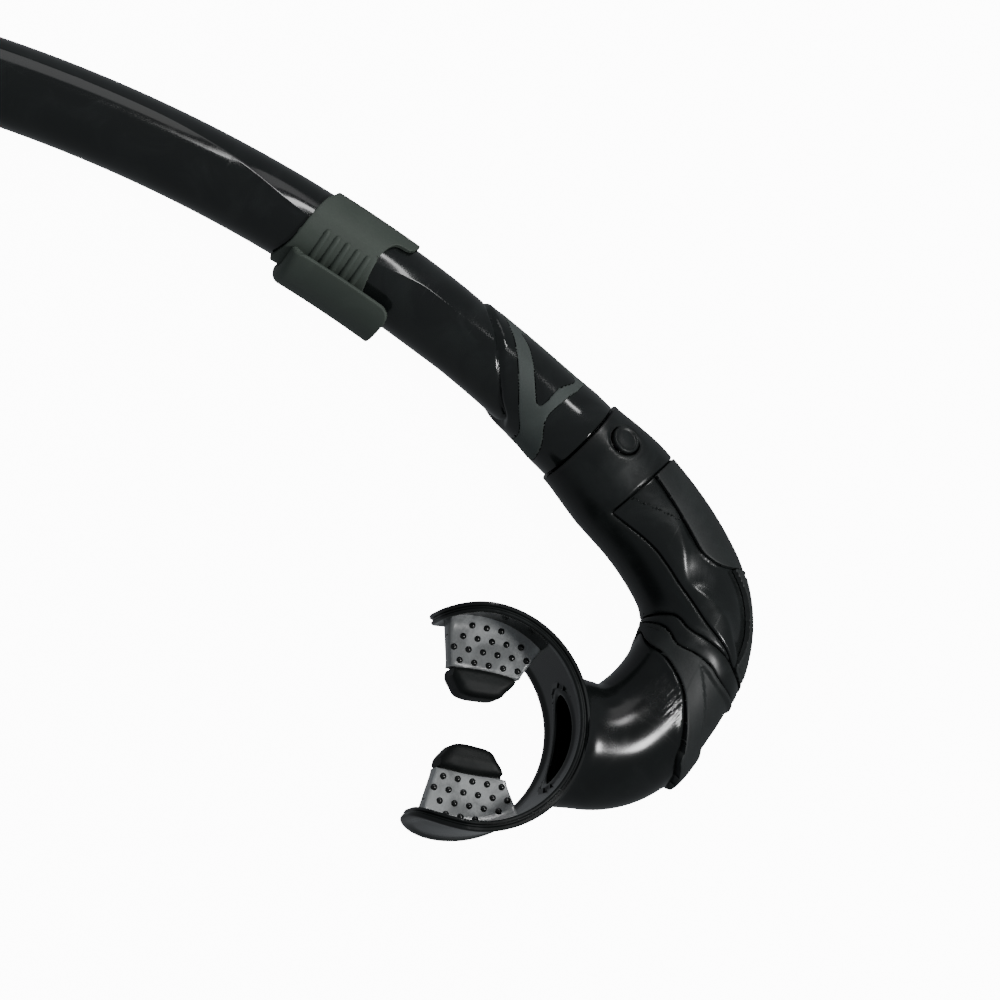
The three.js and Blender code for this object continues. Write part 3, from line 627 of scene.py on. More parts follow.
def math_node(tree, operation, first, second, clamp=False):
    made = node(tree, "ShaderNodeMath", operation=operation, use_clamp=clamp)
    for socket, value in zip(made.inputs, (first, second)):
        if isinstance(value, (int, float)):
            socket.default_value = value
        else:
            tree.links.new(value, socket)
    return made.outputs[0]


def mask_between(tree, value, low, high):
    limits = {"From Min": low, "From Max": high}
    made = node(tree, "ShaderNodeMapRange", limits, interpolation_type="SMOOTHSTEP")
    tree.links.new(value, made.inputs["Value"])
    return made.outputs["Result"]


def handling_marks():
    """Cloudy smudges and hair-fine scratches of a part that has been handled."""
    tree, ends, out = group("Handling Marks", {"Smudge Scale": 60.0, "Scratch Scale": 420.0},
                            ("Smudges", "Scratches"))
    even = stretched(tree, (1, 1, 1))
    smudge = node(tree, "ShaderNodeTexNoise", {"Detail": 5.0, "Roughness": 0.62, "Distortion": 0.6})
    tree.links.new(even, smudge.inputs["Vector"])
    tree.links.new(ends.outputs["Smudge Scale"], smudge.inputs["Scale"])
    tree.links.new(mask_between(tree, smudge.outputs["Fac"], 0.42, 0.66), out.inputs["Smudges"])
    lines = []
    for scale in ((1.0, 0.05, 0.6), (0.06, 1.0, 0.5)):
        scratch = node(tree, "ShaderNodeTexNoise", {"Detail": 2.0, "Distortion": 0.25})
        tree.links.new(stretched(tree, scale), scratch.inputs["Vector"])
        tree.links.new(ends.outputs["Scratch Scale"], scratch.inputs["Scale"])
        lines.append(mask_between(tree, scratch.outputs["Fac"], 0.68, 0.74))
    total = math_node(tree, "ADD", lines[0], lines[1], clamp=True)
    tree.links.new(total, out.inputs["Scratches"])
    return tree


def mould_grain():
    """The even, pebbled texture of an etched mould, and a slow unevenness below it."""
    tree, ends, out = group("Mould Grain", {"Grain Scale": 2600.0, "Wave Scale": 90.0},
                            ("Grain", "Unevenness"))
    even = stretched(tree, (1, 1, 1))
    cells = node(tree, "ShaderNodeTexVoronoi", {"Randomness": 1.0}, feature="SMOOTH_F1")
    slow = node(tree, "ShaderNodeTexNoise", {"Detail": 2.0})
    for texture, scale in ((cells, "Grain Scale"), (slow, "Wave Scale")):
        tree.links.new(even, texture.inputs["Vector"])
        tree.links.new(ends.outputs[scale], texture.inputs["Scale"])
    tree.links.new(cells.outputs["Distance"], out.inputs["Grain"])
    tree.links.new(slow.outputs["Fac"], out.inputs["Unevenness"])
    return tree


def rubbed_edge_and_highlight():
    """Where an edge stands out: a mask for rubbing wear and for a painted edge highlight."""
    tree, ends, out = group("Rubbed Edge And Painted Highlight", {"Start": 0.53, "End": 0.6}, ("Mask",))
    shape = node(tree, "ShaderNodeNewGeometry")
    edge = node(tree, "ShaderNodeMapRange", interpolation_type="SMOOTHSTEP")
    tree.links.new(shape.outputs["Pointiness"], edge.inputs["Value"])
    tree.links.new(ends.outputs["Start"], edge.inputs["From Min"])
    tree.links.new(ends.outputs["End"], edge.inputs["From Max"])
    broken = node(tree, "ShaderNodeTexNoise", {"Scale": 700.0, "Detail": 3.0})
    tree.links.new(stretched(tree, (1, 1, 1)), broken.inputs["Vector"])
    patchy = mask_between(tree, broken.outputs["Fac"], 0.35, 0.6)
    tree.links.new(math_node(tree, "MULTIPLY", edge.outputs["Result"], patchy), out.inputs["Mask"])
    return tree


EFFECTS = {"Handling Marks": handling_marks, "Mould Grain": mould_grain, "Rubbed Edge And Painted Highlight": rubbed_edge_and_highlight}


def effect(tree, name, **values):
    made = node(tree, "ShaderNodeGroup")
    made.node_tree = bpy.data.node_groups.get(name) or EFFECTS[name]()
    for socket, value in values.items():
        made.inputs[socket.replace("_", " ")].default_value = value
    return made


def moulded(name, color, roughness, marks=0.1, scratches=0.08, grain=0.02, grain_scale=2600.0, waves=0.02,
            tint=0.25, edge_wear_and_highlight=0.12, coat=0.0, coat_roughness=0.08, specular=0.5, sheen=0.0, relief=None,
            **more):
    """A moulded plastic or rubber: colour, uneven gloss, grain in its surface, and standing edges painted paler
    for rubbing wear and a painted edge highlight.
    """
    material = bpy.data.materials.new(name)
    material.use_nodes = True
    tree = material.node_tree
    shader = tree.nodes["Principled BSDF"]
    shader.inputs["Coat Weight"].default_value = coat
    shader.inputs["Coat Roughness"].default_value = coat_roughness
    shader.inputs["Specular IOR Level"].default_value = specular
    shader.inputs["Sheen Weight"].default_value = sheen
    for socket, value in more.items():
        shader.inputs[socket.replace("_", " ")].default_value = value
    wear = effect(tree, "Handling Marks")
    surface = effect(tree, "Mould Grain", Grain_Scale=grain_scale)
    edges = effect(tree, "Rubbed Edge And Painted Highlight")
    cloudy = mixed(tree, color, [c * (1 + tint) + 0.001 for c in color], wear.outputs["Smudges"])
    # Standing edges painted paler: partly rubbing wear, partly a painted edge highlight.
    worn_and_highlit_color = mixed(tree, cloudy, [c * 1.9 + 0.008 for c in color],
                  math_node(tree, "MULTIPLY", edges.outputs["Mask"], edge_wear_and_highlight))
    tree.links.new(worn_and_highlit_color, shader.inputs["Base Color"])
    dull = math_node(tree, "MULTIPLY", wear.outputs["Smudges"], marks)
    fine = math_node(tree, "MULTIPLY", wear.outputs["Scratches"], scratches)
    uneven = math_node(tree, "ADD", math_node(tree, "ADD", dull, fine), roughness, clamp=True)
    tree.links.new(uneven, shader.inputs["Roughness"])
    slow = math_node(tree, "MULTIPLY", surface.outputs["Unevenness"], waves)
    quick = math_node(tree, "MULTIPLY", surface.outputs["Grain"], grain)
    scratch = math_node(tree, "MULTIPLY", wear.outputs["Scratches"], -0.006 * scratches)
    height = math_node(tree, "ADD", math_node(tree, "ADD", slow, quick), scratch)
    if relief:
        height = relief(tree, height)
    bump = node(tree, "ShaderNodeBump", {"Strength": 1.0, "Distance": MM})
    tree.links.new(height, bump.inputs["Height"])
    tree.links.new(bump.outputs["Normal"], shader.inputs["Normal"])
    return material


def mixed(tree, first, second, factor):
    """Blends a colour, or a socket that gives one, towards a second colour."""
    made = node(tree, "ShaderNodeMix", data_type="RGBA")
    if isinstance(first, bpy.types.NodeSocket):
        tree.links.new(first, made.inputs[6])
    else:
        made.inputs[6].default_value = (*first, 1)
    made.inputs[7].default_value = (*second, 1)
    tree.links.new(factor, made.inputs[0])
    return made.outputs[2]


def stretch_wrinkles(tree, height):
    """Adds the fine wrinkles of the sleeve where it is pulled round the bend."""
    along = node(tree, "ShaderNodeAttribute", attribute_name="along")
    parts = node(tree, "ShaderNodeSeparateXYZ")
    tree.links.new(along.outputs["Vector"], parts.inputs[0])
    station = math_node(tree, "ABSOLUTE", math_node(tree, "SUBTRACT", parts.outputs["X"], 97.0), 0)
    aside = math_node(tree, "ABSOLUTE", math_node(tree, "SUBTRACT", parts.outputs["Y"], 1.75), 0)
    near = math_node(tree, "MULTIPLY", mask_between(tree, station, 9.0, 1.0),
                     mask_between(tree, aside, 0.7, 0.1))
    folds = node(tree, "ShaderNodeTexNoise", {"Scale": 1.0, "Detail": 3.0, "Distortion": 0.4})
    spread = node(tree, "ShaderNodeCombineXYZ")
    tree.links.new(math_node(tree, "MULTIPLY", parts.outputs["X"], 0.14), spread.inputs["X"])
    tree.links.new(math_node(tree, "MULTIPLY", parts.outputs["Y"], 15.0), spread.inputs["Y"])
    tree.links.new(spread.outputs[0], folds.inputs["Vector"])
    wrinkles = math_node(tree, "MULTIPLY", math_node(tree, "MULTIPLY", folds.outputs["Fac"], near), 0.3)
    return math_node(tree, "ADD", height, wrinkles)


def black_gloss():
    return moulded("gloss_black", settings().black, 0.11, marks=0.07, scratches=0.1, grain=0.0006,
                   waves=0.012, tint=0.5, coat=0.25, coat_roughness=0.05)


def black_satin():
    return moulded("satin_black", settings().black, 0.3, marks=0.1, grain=0.0035, grain_scale=2100.0,
                   waves=0.02, tint=0.6, edge_wear_and_highlight=0.1)


def cover_gloss():
    return moulded("cover_gloss", settings().black, 0.2, marks=0.09, grain=0.0012, waves=0.016, tint=0.5,
                   coat=0.15, coat_roughness=0.1)


def trim_matte():
    return moulded("matte_trim", [c * 1.5 + 0.006 for c in settings().black], 0.5, marks=0.08, grain=0.014,
                   grain_scale=1700.0, tint=0.3, edge_wear_and_highlight=0.3)


def inlay_grey():
    return moulded("grey_inlay", settings().grey, 0.55, marks=0.1, grain=0.01, grain_scale=1900.0, tint=0.14,
                   edge_wear_and_highlight=0.15, specular=0.35, sheen=0.05)


def keeper_grey():
    return moulded("grey_keeper", settings().keeper, 0.52, marks=0.1, grain=0.009, grain_scale=1500.0,
                   waves=0.03, tint=0.12, edge_wear_and_highlight=0.12, specular=0.4)


def black_silicone():
    return moulded("silicone_black", [c * 0.8 for c in settings().black], 0.16, marks=0.06, scratches=0.05,
                   grain=0.0015, waves=0.012, tint=0.3, edge_wear_and_highlight=0.2, specular=0.45, relief=stretch_wrinkles)


def rough_silicone():
    return moulded("silicone_rough", [c * 0.7 for c in settings().black], 0.5, marks=0.1, grain=0.006,
                   tint=0.4, edge_wear_and_highlight=0.15, specular=0.3)


def clear_silicone():
    return moulded("silicone_clear", settings().pad, 0.2, marks=0.25, grain=0.02, grain_scale=900.0,
                   waves=0.12, tint=0.9, edge_wear_and_highlight=0.1, coat=0.5, coat_roughness=0.12, Subsurface_Weight=0.25,
                   Subsurface_Scale=0.001, Subsurface_Radius=(1.0, 1.0, 1.0))


def inner_black():
    return moulded("inner_black", [c * 0.8 for c in settings().black], 0.45, grain=0.006)


def seal_rubber():
    return moulded("seal_rubber", [c * 0.6 for c in settings().black], 0.35, marks=0.2, grain=0.004)


def latch_steel():
    return moulded("latch_steel", (0.5, 0.51, 0.52), 0.28, grain=0.004, tint=0.05, Metallic=1.0)


FINISHES = {"barrel_gloss": black_gloss, "chamber_satin": black_satin, "cover_gloss": cover_gloss,
            "trim_matte": trim_matte, "inlay_grey": inlay_grey, "keeper_grey": keeper_grey,
            "black_silicone": black_silicone, "rough_silicone": rough_silicone,
            "clear_silicone": clear_silicone, "inner_black": inner_black, "seal_rubber": seal_rubber,
            "latch_steel": latch_steel}
made_finishes = {}


def finish(slot):
    if slot not in made_finishes:
        made_finishes[slot] = FINISHES[slot]()
    return made_finishes[slot]


def settings():
    return bpy.context.scene.snorkel_dressing


# ---------- Tubes ----------
SEAM_HEADING = math.atan2(-JOINTS["lower_unit_swivel"]["axis"][1], -JOINTS["lower_unit_swivel"]["axis"][0])
BARREL_SPINE = Spine(SEAM_HEADING, ((BARREL_LENGTH, math.degrees(BARREL_LENGTH / BARREL_ARC)),))
ELBOW_SPINE = Spine(SEAM_HEADING + math.pi, ELBOW_BENDS)
FINE_ANGLES = np.linspace(-math.pi, math.pi, 121)

raised_radius = smooth_knots(((0, BARREL_FOOT_RADIUS), (5.4, BARREL_FOOT_RADIUS), (13.5, 13.5), (27, 13.15),
                              (50, 12.9)))
lower_radius = smooth_knots(((0, 12.2), (45, 12.0), (58, 12.3), (75, BARREL_RADIUS),
                             (BARREL_LENGTH, BARREL_RADIUS)))
ridge_left = smooth_knots(((0, 0), (45, 0), (64, -0.3), (82, 2.5), (105, 2), (134, -3), (160, -5),
                           (BARREL_LENGTH, -6)))
BARREL_CHART_RADIUS = 13.0
RIDGE_RISE = 0.3
RIDGE_WIDTH = 1.7
STEP_LINE = ((47.4, -30), (46.4, -10.5), (38.5, -2.4), (27, 9.2), (21, 11.9), (19, 30))


def ridge_angle(station):
    return QUARTER - np.arcsin(ridge_left(station) / BARREL_RADIUS)


def ridge_distance(p, q):
    """How far round the barrel a place is from its crease, in mm."""
    q = np.abs((q + math.pi) % (2 * math.pi) - math.pi)
    return (q - ridge_angle(p)) * BARREL_RADIUS


def crease(p, q):
    """The rise of the soft crease that runs along the barrel, top and bottom."""
    return RIDGE_RISE * np.exp(-np.abs(ridge_distance(p, q)) / RIDGE_WIDTH) * ramp(p, 42, 60)


PLAIN_BARREL = Tube(BARREL_SPINE, lambda p, q: np.full(np.shape(p), BARREL_RADIUS, float),
                    chart_radius=BARREL_CHART_RADIUS)
step_side = PLAIN_BARREL.line(STEP_LINE)


def barrel_radius(p, q):
    raised = ramp(step_side(p, q), -1.1, 0.5)
    low = lower_radius(p) + crease(p, q)
    return low + (raised_radius(p) - low) * raised


BARREL = Tube(BARREL_SPINE, barrel_radius, chart_radius=BARREL_CHART_RADIUS)
elbow_knots = smooth_knots(ELBOW_KNOTS)


def elbow_height(station):
    limit = 16.9 - 1.3 * np.clip((station - 45) / (ELBOW_LENGTH - 45), 0, 1)
    return np.minimum(1, limit / elbow_knots(station))


ELBOW = Tube(ELBOW_SPINE, lambda p, q: elbow_knots(p), elbow_height)
CORE_RADIUS_DROP = SKIN + GAP

collar_side = ELBOW.line(COLLAR_LINE)
cover_side = ELBOW.line(COVER_LINE)
ring_side = ELBOW.line(RING_LINE)
fin_side = ELBOW.line(FIN_LINE)
sleeve_side = ELBOW.line(SLEEVE_LINE)
trim_side = ELBOW.line(TRIM_LINE)
guard_side = ELBOW.line(GUARD_LINE)
leaf_side = ELBOW.line(LEAF_LINE)
fin_leaf_side = ELBOW.line(FIN_LEAF_LINE)
trim_area = both(trim_side, without(collar_side))
guard_area = both(guard_side, without(trim_side))


# ---------- Barrel and inlay ----------
INLAY_RECESS = 1.25
INLAY_DEPTH = 0.95


def inlay_field():
    area = BARREL.patch(INLAY_OUTLINE)
    window = BARREL.patch(INLAY_WINDOW)
    return both(area, without(window))


def barrel_parts():
    inlay = inlay_field()

    def outer(p, q, d):
        sunk = ramp(inlay(p, q), -0.12, 0.02) * INLAY_RECESS * (p < 50)
        lip = 0.4 * hump(step_side(p, q) + 1.3, 0.9) * (p < 60)
        return -edge_drop(d, 0.5) - sunk - lip

    def inner(p, q, d):
        bore = BARREL_BORE + 1.4 * ramp(p, 10.6, 9.9)
        return bore - BARREL.radius(p, q)

    def ridge(p, q):
        return np.where(p > 46, ridge_distance(p, q), 9.0)

    def near_inlay(p, q):
        return np.where(p < 52, inlay(p, q), -9.0)

    def near_step(p, q):
        return np.where(p < 60, step_side(p, q), -9.0)
    rows = np.concatenate([np.arange(0, 52, 0.8), np.linspace(52, BARREL_LENGTH, 142)])
    features = ((near_step, (-2.2, -1.3, -0.6, 0.5)), (near_inlay, (-0.12, 0.02)),
                (ridge, (-0.4, -0.12, 0.12, 0.4)))
    return shell(BARREL, rows, FINE_ANGLES, within(0.05, BARREL_LENGTH - 0.05), outer, inner, edge=0.5,
                 features=features)


def inlay_parts():
    return shell(BARREL, np.arange(3, 51, 0.7), FINE_ANGLES, inlay_field(),
                 lambda p, q, d: 0.12 - edge_drop(d, 0.35), steady(-INLAY_DEPTH), edge=0.35)


# ---------- Chamber and shells ----------
BUTTON_STATION = 8.5
BUTTON_RADIUS = 4.3
BUTTON_CHART_RADIUS = 16.4
SOCKET_END = 19.3                # where the collar's socket for the barrel ends
SOCKET_RADIUS = 12.1
VALVE_STATION = 71
VALVE_OPENING = 7.4
VALVE_CHART_RADIUS = 14
LIFT_ROOM = 0.55                 # how much thinner the cover is over the valve
VENT_STEP = 5


def press_direction():
    return Vector(JOINTS["release_press"]["axis"])


def button_angle():
    """Where the button sits round the collar, from its left."""
    x, y, heading = ELBOW_SPINE.at(BUTTON_STATION)
    out = -press_direction()
    left = -math.sin(heading) * out.x + math.cos(heading) * out.y
    return math.atan2(out.z, left)


def valve_field(p, q):
    """Below nought inside the chamber's round opening for the exhaust valve."""
    turn = np.arctan2(np.sin(q), np.cos(q))
    return np.hypot(p - VALVE_STATION, turn * VALVE_CHART_RADIUS) - VALVE_OPENING


def chamber_parts():
    angle = button_angle()

    def hole(p, q):
        return np.hypot(p - BUTTON_STATION, (q - angle) * BUTTON_CHART_RADIUS) - BUTTON_RADIUS - 0.4
    shown = both(either(collar_side, without(cover_side)), ring_side)
    visible = inset(shown)

    def outer(p, q, d):
        rim = visible(p, q)
        sunk = ramp(rim, 0.0, -0.1) * CORE_RADIUS_DROP
        groove = edge_drop(np.maximum(rim, 0), 0.75) * ramp(rim, -0.05, 0)
        dish = 0.35 * hump(hole(p, q), 1.3)
        return -edge_drop(d, 0.5) - sunk - groove - dish

    def inner(p, q, d):
        """The bore, with room for the latch plate and the button's foot to travel."""
        toward = np.maximum(np.cos(q - angle), 0)
        plate_room = (2.1 + 1.5 * toward) * ramp(np.abs(p - BUTTON_STATION), 3.4, 2.6)
        button_room = 3.3 * ramp(hole(p, q), 1.4, 0.9)
        socket = np.maximum(SOCKET_RADIUS + plate_room, SOCKET_RADIUS + button_room)
        bore = np.where(p < SOCKET_END, socket, elbow_knots(p) - CORE_RADIUS_DROP - CORE_WALL)
        return bore - elbow_knots(p)
    domain = both(within(GAP, OUTLET_STATION), hole, valve_field)
    rows = np.linspace(0, OUTLET_STATION + 0.5, 120)
    return shell(ELBOW, rows, FINE_ANGLES, domain, outer, inner, edge=0.5,
                 features=((visible, (-0.1, 0, 0.06, 0.25, 0.75)), (hole, (0.6, 1.3))))


def leaf_depth(p, q):
    """The glossy scoop beside the trim."""
    side = leaf_side(p, q)
    side = (side + np.sqrt(side * side + 0.5)) / 2
    return 1.5 * (1 - np.exp(-side / 2.0)) * ramp(p, 24, 36) * ramp(p, 84, 72)


def cover_parts():
    area = both(without(collar_side), cover_side)
    domain = inset(area)
    pocket = either(trim_area, guard_area)

    def outer(p, q, d):
        under = ramp(pocket(p, q), -0.1, 0.0)
        scoop = leaf_depth(p, q) * (1 - under)
        return -edge_drop(d, 0.7) - scoop - under * (TRIM_THICKNESS + GAP)

    def inner(p, q, d):
        return -SKIN + LIFT_ROOM * ramp(valve_field(p, q), 0.4, 0.0)
    return shell(ELBOW, np.linspace(20, 85, 130), np.linspace(-math.pi, math.pi, 181), domain, outer,
                 inner, edge=0.7, features=((pocket, (-0.1, 0)),))


def trim_parts():
    domain = inset(both(trim_area, cover_side))
    return shell(ELBOW, np.linspace(20, 60, 52), FINE_ANGLES, domain,
                 lambda p, q, d: 0.22 - edge_drop(d, 0.45), steady(-TRIM_THICKNESS), edge=0.45)


def guard_parts():
    def vents(p, q):
        stations = (VALVE_STATION - VENT_STEP, VALVE_STATION, VALVE_STATION + VENT_STEP)
        slots = either(*(slab_field(1.1, 5, 1.0, (station, 0)) for station in stations))
        return slots(p, q * ELBOW.chart_radius)
    domain = both(inset(both(guard_area, cover_side)), without(vents))

    def outer(p, q, d):
        return 0.6 - 0.45 * hump(d - 1.7, 0.8) - edge_drop(d, 0.4)
    return shell(ELBOW, np.linspace(53, 84, 56), np.linspace(-1.4, 1.4, 81), domain, outer,
                 steady(-TRIM_THICKNESS), edge=0.4)


def ring_parts():
    domain = inset(both(without(ring_side), without(cover_side), fin_side))

    def outer(p, q, d):
        return 0.45 * (1 - np.exp(-d / 1.2)) - edge_drop(d, 0.6)
    return shell(ELBOW, np.linspace(62, 90, 48), FINE_ANGLES, domain, outer, steady(-SKIN), edge=0.6)


def fin_parts():
    domain = inset(both(without(fin_side), sleeve_side))

    leaf = both(fin_leaf_side, without(fin_side, 1.6))

    def outer(p, q, d):
        tail = 1.6 * ramp(p, 94, 108)
        return 0.55 + tail - 0.95 * ramp(leaf(p, q), -0.25, 0.9) - edge_drop(d, 0.55)
    return shell(ELBOW, np.linspace(64, 112, 78), FINE_ANGLES, domain, outer, steady(-SKIN), edge=0.55,
                 features=((leaf, (-0.25, 0.3, 0.9)),))


# ---------- Mouthpiece ----------
MOUTH = ELBOW_SPINE.matrix(ELBOW_LENGTH) @ Matrix.Translation((FLANGE_REACH, 0, 0))


def mouth_place(x, y, z):
    return transformed(np.stack([x, y, z], 1), MOUTH)


def flange_place(p, q, offset):
    """p runs round the lip flange from its back, q up and offset out."""
    radius = FLANGE_RADIUS - FLANGE_WALL / 2
    angle = math.pi + p / radius
    return mouth_place((radius + offset) * np.cos(angle), (radius + offset) * np.sin(angle), q)


def flange_parts():
    reach = math.radians(180 - FLANGE_OPENING) * (FLANGE_RADIUS - FLANGE_WALL / 2)
    edge = slab_field(reach, FLANGE_HALF, FLANGE_END_RADIUS)

    def slot(p, q):
        share = np.hypot(p / SLOT_HALF[0], q / SLOT_HALF[1])
        return (share - 1) * SLOT_HALF[1] * (0.55 + 0.45 * share / (share + 1e-6))
    domain = both(edge, slot)

    def half(p, q):
        away = edge(p, q)
        bead = 0.75 * ramp(away, 4.2, 1.6)
        lip = 0.5 * ramp(slot(p, q), 2.6, 0.4)
        return FLANGE_WALL / 2 + np.maximum(bead, lip)

    def outer(p, q, d):
        return half(p, q) - edge_drop(d, 0.7)

    def inner(p, q, d):
        return -half(p, q) + edge_drop(d, 0.7)
    rows = np.linspace(-reach - 0.5, reach + 0.5, 190)
    columns = np.linspace(-FLANGE_HALF - 0.5, FLANGE_HALF + 0.5, 52)
    return shell(Plate(flange_place), rows, columns, domain, outer, inner, edge=0.7,
                 features=((edge, (1.6, 2.6, 4.2)),),
                 groove=((0.3, 0.0), (0.48, 0.55), (0.62, 0.55), (0.8, 0.0)))


def duct_parts():
    centre = np.array(MOUTH.translation)[:2]

    def reach(p, q):
        """How far the outside of the duct still is from the flange."""
        spot = ELBOW.place(p, q, 0)
        return np.hypot(spot[:, 0] - centre[0], spot[:, 1] - centre[1]) - FLANGE_RADIUS + 0.2
    domain = both(without(sleeve_side, GAP / 2), reach, within(60, 140))

    def outer(p, q, d):
        fillet = 2.0 * np.exp(-np.maximum(reach(p, q), 0) / 1.7)
        lip = 0.25 * hump(-sleeve_side(p, q) - 1.2, 1.1)
        return fillet + lip - edge_drop(np.maximum(-sleeve_side(p, q) - GAP / 2, 0), 0.6)

    def inner(p, q, d):
        thick = ramp(p, OUTLET_STATION - 1, OUTLET_STATION + 1)
        return -SKIN + 0.1 - (GAP + CORE_WALL) * thick
    rows = np.linspace(64, 136, 92)
    return shell(ELBOW, rows, FINE_ANGLES, domain, outer, inner, edge=0.6)


def flat_place(side):
    """A plate level with the curve's plane, on one side of the mouthpiece."""
    return Plate(lambda p, q, offset: mouth_place(p, side * q, offset))


TAB_OUTLINE = ((-20, 33), (-13.2, 16.5), (-12, 14), (5.5, 14), (6.5, 16.5), (8.4, 33))
LUG_OUTLINE = ((-11.8, 14.8), (-10, 9.8), (-7.6, 7.6), (-3, 7), (1.5, 7), (4.6, 8.6), (6.4, 14.8))
PAD_OUTLINE = ((-19.6, 27.2), (-14.6, 16.2), (-13.4, 15), (-3, 14.6), (6.6, 15), (7.6, 16.2),
               (9.6, 32.4), (2, 33.5), (-12, 31))
CUSHION_STEP = 0.7
PAD_HALF = 2.8


def cushion(side, points, half, edge, swell=None):
    """A plate with full round edges on both faces."""
    field = both(outline(points), lambda p, q: FLANGE_RADIUS - FLANGE_WALL / 2 - 0.1 - np.hypot(p, q))
    low, high = np.array(points, float).min(0) - 1, np.array(points, float).max(0) + 1

    def offset(p, q, d):
        extra = swell(p, q) if swell else 0
        return half + extra - edge_drop(d, edge)
    rows, columns = (np.arange(low[axis], high[axis], CUSHION_STEP) for axis in (0, 1))
    return shell(flat_place(side), rows, columns, field, offset, lambda p, q, d: -offset(p, q, d), edge=edge)


def lug_swell(p, q):
    return 0.22 * hump(q - 11.4, 1.6)


def pad_swell(p, q):
    """The pad thickens towards the flange and the lug."""
    reach = FLANGE_RADIUS - FLANGE_WALL - np.hypot(p, q)
    return 1.6 * np.exp(-np.maximum(reach, 0) / 2.2) + 0.5 * np.exp(-np.maximum(q - 15.2, 0) / 0.9)


def pad_parts(side):
    return cushion(side, PAD_OUTLINE, PAD_HALF, 0.9, swell=pad_swell)


def bump_places(spacing):
    """Where the bumps sit on a pad: a staggered pattern clear of its edges."""
    field = outline(PAD_OUTLINE)
    spots = []
    for row in range(12):
        for column in range(14):
            p = -22 + column * spacing + (row % 2) * spacing / 2
            q = 17.2 + row * spacing * 0.8
            spots.append((p, q))
    spots = np.array(spots)
    clear = (field(*spots.T) > 1.2) & (np.hypot(*spots.T) < FLANGE_RADIUS - FLANGE_WALL - 2.2)
    return spots[clear]


# ---------- Strap keeper ----------
KEEPER_BORE = 12.8
KEEPER_WALL = 1.1
FLAP_RADIUS = 17.85
FLAP_HALF_WALL = 0.85
FLAP_START = -19.5
BEND_CENTRE = (13.57, 15.775)
KEEPER_OUTLINE = ((74, -30), (74, -8), (79.5, -5.4), (82, 0), (81.8, 5), (80, 30),
                  (107.5, 30), (106.6, 8), (105.4, 0), (103.8, -6), (101.6, -10), (98, -13),
                  (93, -15.5), (93, -30))
KEEPER_TUBE = Tube(BARREL_SPINE, lambda p, q: np.full(np.shape(p), KEEPER_BORE, float), chart_radius=13.5)


def keeper_collar():
    area = KEEPER_TUBE.patch(KEEPER_OUTLINE)
    return shell(KEEPER_TUBE, np.linspace(70, 111, 56), FINE_ANGLES, area,
                 lambda p, q, d: KEEPER_WALL - edge_drop(d, 0.4), steady(0), edge=0.4)


def hook_place(p, q, offset):
    """p runs from the flap's free end along it and round the bend to the collar, q across it."""
    straight = BEND_CENTRE[0] - FLAP_START
    bend_radius = FLAP_RADIUS - BEND_CENTRE[1]
    turn = np.clip((p - straight) / bend_radius, 0, math.pi)
    back = np.maximum(p - straight - math.pi * bend_radius, 0)
    x = FLAP_START + np.minimum(p, straight) + (bend_radius + offset) * np.sin(turn) - back
    r = BEND_CENTRE[1] + (bend_radius + offset) * np.cos(turn)
    angle = q / FLAP_RADIUS
    return BARREL_SPINE.place(KEEPER_STATION + x, r * np.cos(angle), r * np.sin(angle))


def keeper_hook():
    total = BEND_CENTRE[0] - FLAP_START + math.pi * (FLAP_RADIUS - BEND_CENTRE[1]) + 4
    field = slab_field(total / 2, 14.0, 4.5, (total / 2, 0))

    def waist(p, q):
        """The flap narrows a little past the bend."""
        return field(p, q) - 1.6 * ramp(p, 30, 41)

    def outer(p, q, d):
        return FLAP_HALF_WALL - edge_drop(d, 0.6)
    return shell(Plate(hook_place), np.linspace(-0.5, total + 0.5, 70), np.linspace(-15, 15, 46), waist,
                 outer, lambda p, q, d: -outer(p, q, d), edge=0.6)


# ---------- Things that repeat, made by Geometry Nodes ----------
def repeating_tree(name, **kinds):
    """Geometry nodes that repeat an instance on points and give the copies a finish.

    The tree takes geometry, the sockets named with their kinds and a finish. It comes back with its
    input node, the node that sets the instances and the inputs' identifiers.
    """
    tree = bpy.data.node_groups.new(name, "GeometryNodeTree")
    inputs = {"Geometry": "Geometry", **kinds, "Finish": "Material"}
    sockets = {}
    for socket, kind in inputs.items():
        made = tree.interface.new_socket(socket, in_out="INPUT", socket_type=f"NodeSocket{kind}")
        sockets[socket] = made.identifier
    tree.interface.new_socket("Geometry", in_out="OUTPUT", socket_type="NodeSocketGeometry")
    ends, out = tree.nodes.new("NodeGroupInput"), tree.nodes.new("NodeGroupOutput")
    on_points = node(tree, "GeometryNodeInstanceOnPoints")
    real = node(tree, "GeometryNodeRealizeInstances")
    paint = node(tree, "GeometryNodeSetMaterial")
    tree.links.new(on_points.outputs["Instances"], real.inputs["Geometry"])
    tree.links.new(real.outputs["Geometry"], paint.inputs["Geometry"])
    tree.links.new(ends.outputs["Finish"], paint.inputs["Material"])
    tree.links.new(paint.outputs["Geometry"], out.inputs["Geometry"])
    return tree, ends, on_points, sockets


def points_tree(name):
    """Geometry nodes that set a stud with a rounded top on every point."""
    tree, ends, on_points, sockets = repeating_tree(name, Radius="Float", Height="Float")
    ball = node(tree, "GeometryNodeMeshIcoSphere", {"Subdivisions": 3, "Radius": 1.0})
    size = node(tree, "ShaderNodeCombineXYZ")
    for axis, source in (("X", "Radius"), ("Y", "Radius"), ("Z", "Height")):
        tree.links.new(ends.outputs[source], size.inputs[axis])
    tree.links.new(ends.outputs["Geometry"], on_points.inputs["Points"])
    tree.links.new(ball.outputs["Mesh"], on_points.inputs["Instance"])
    tree.links.new(size.outputs[0], on_points.inputs["Scale"])
    return tree, sockets


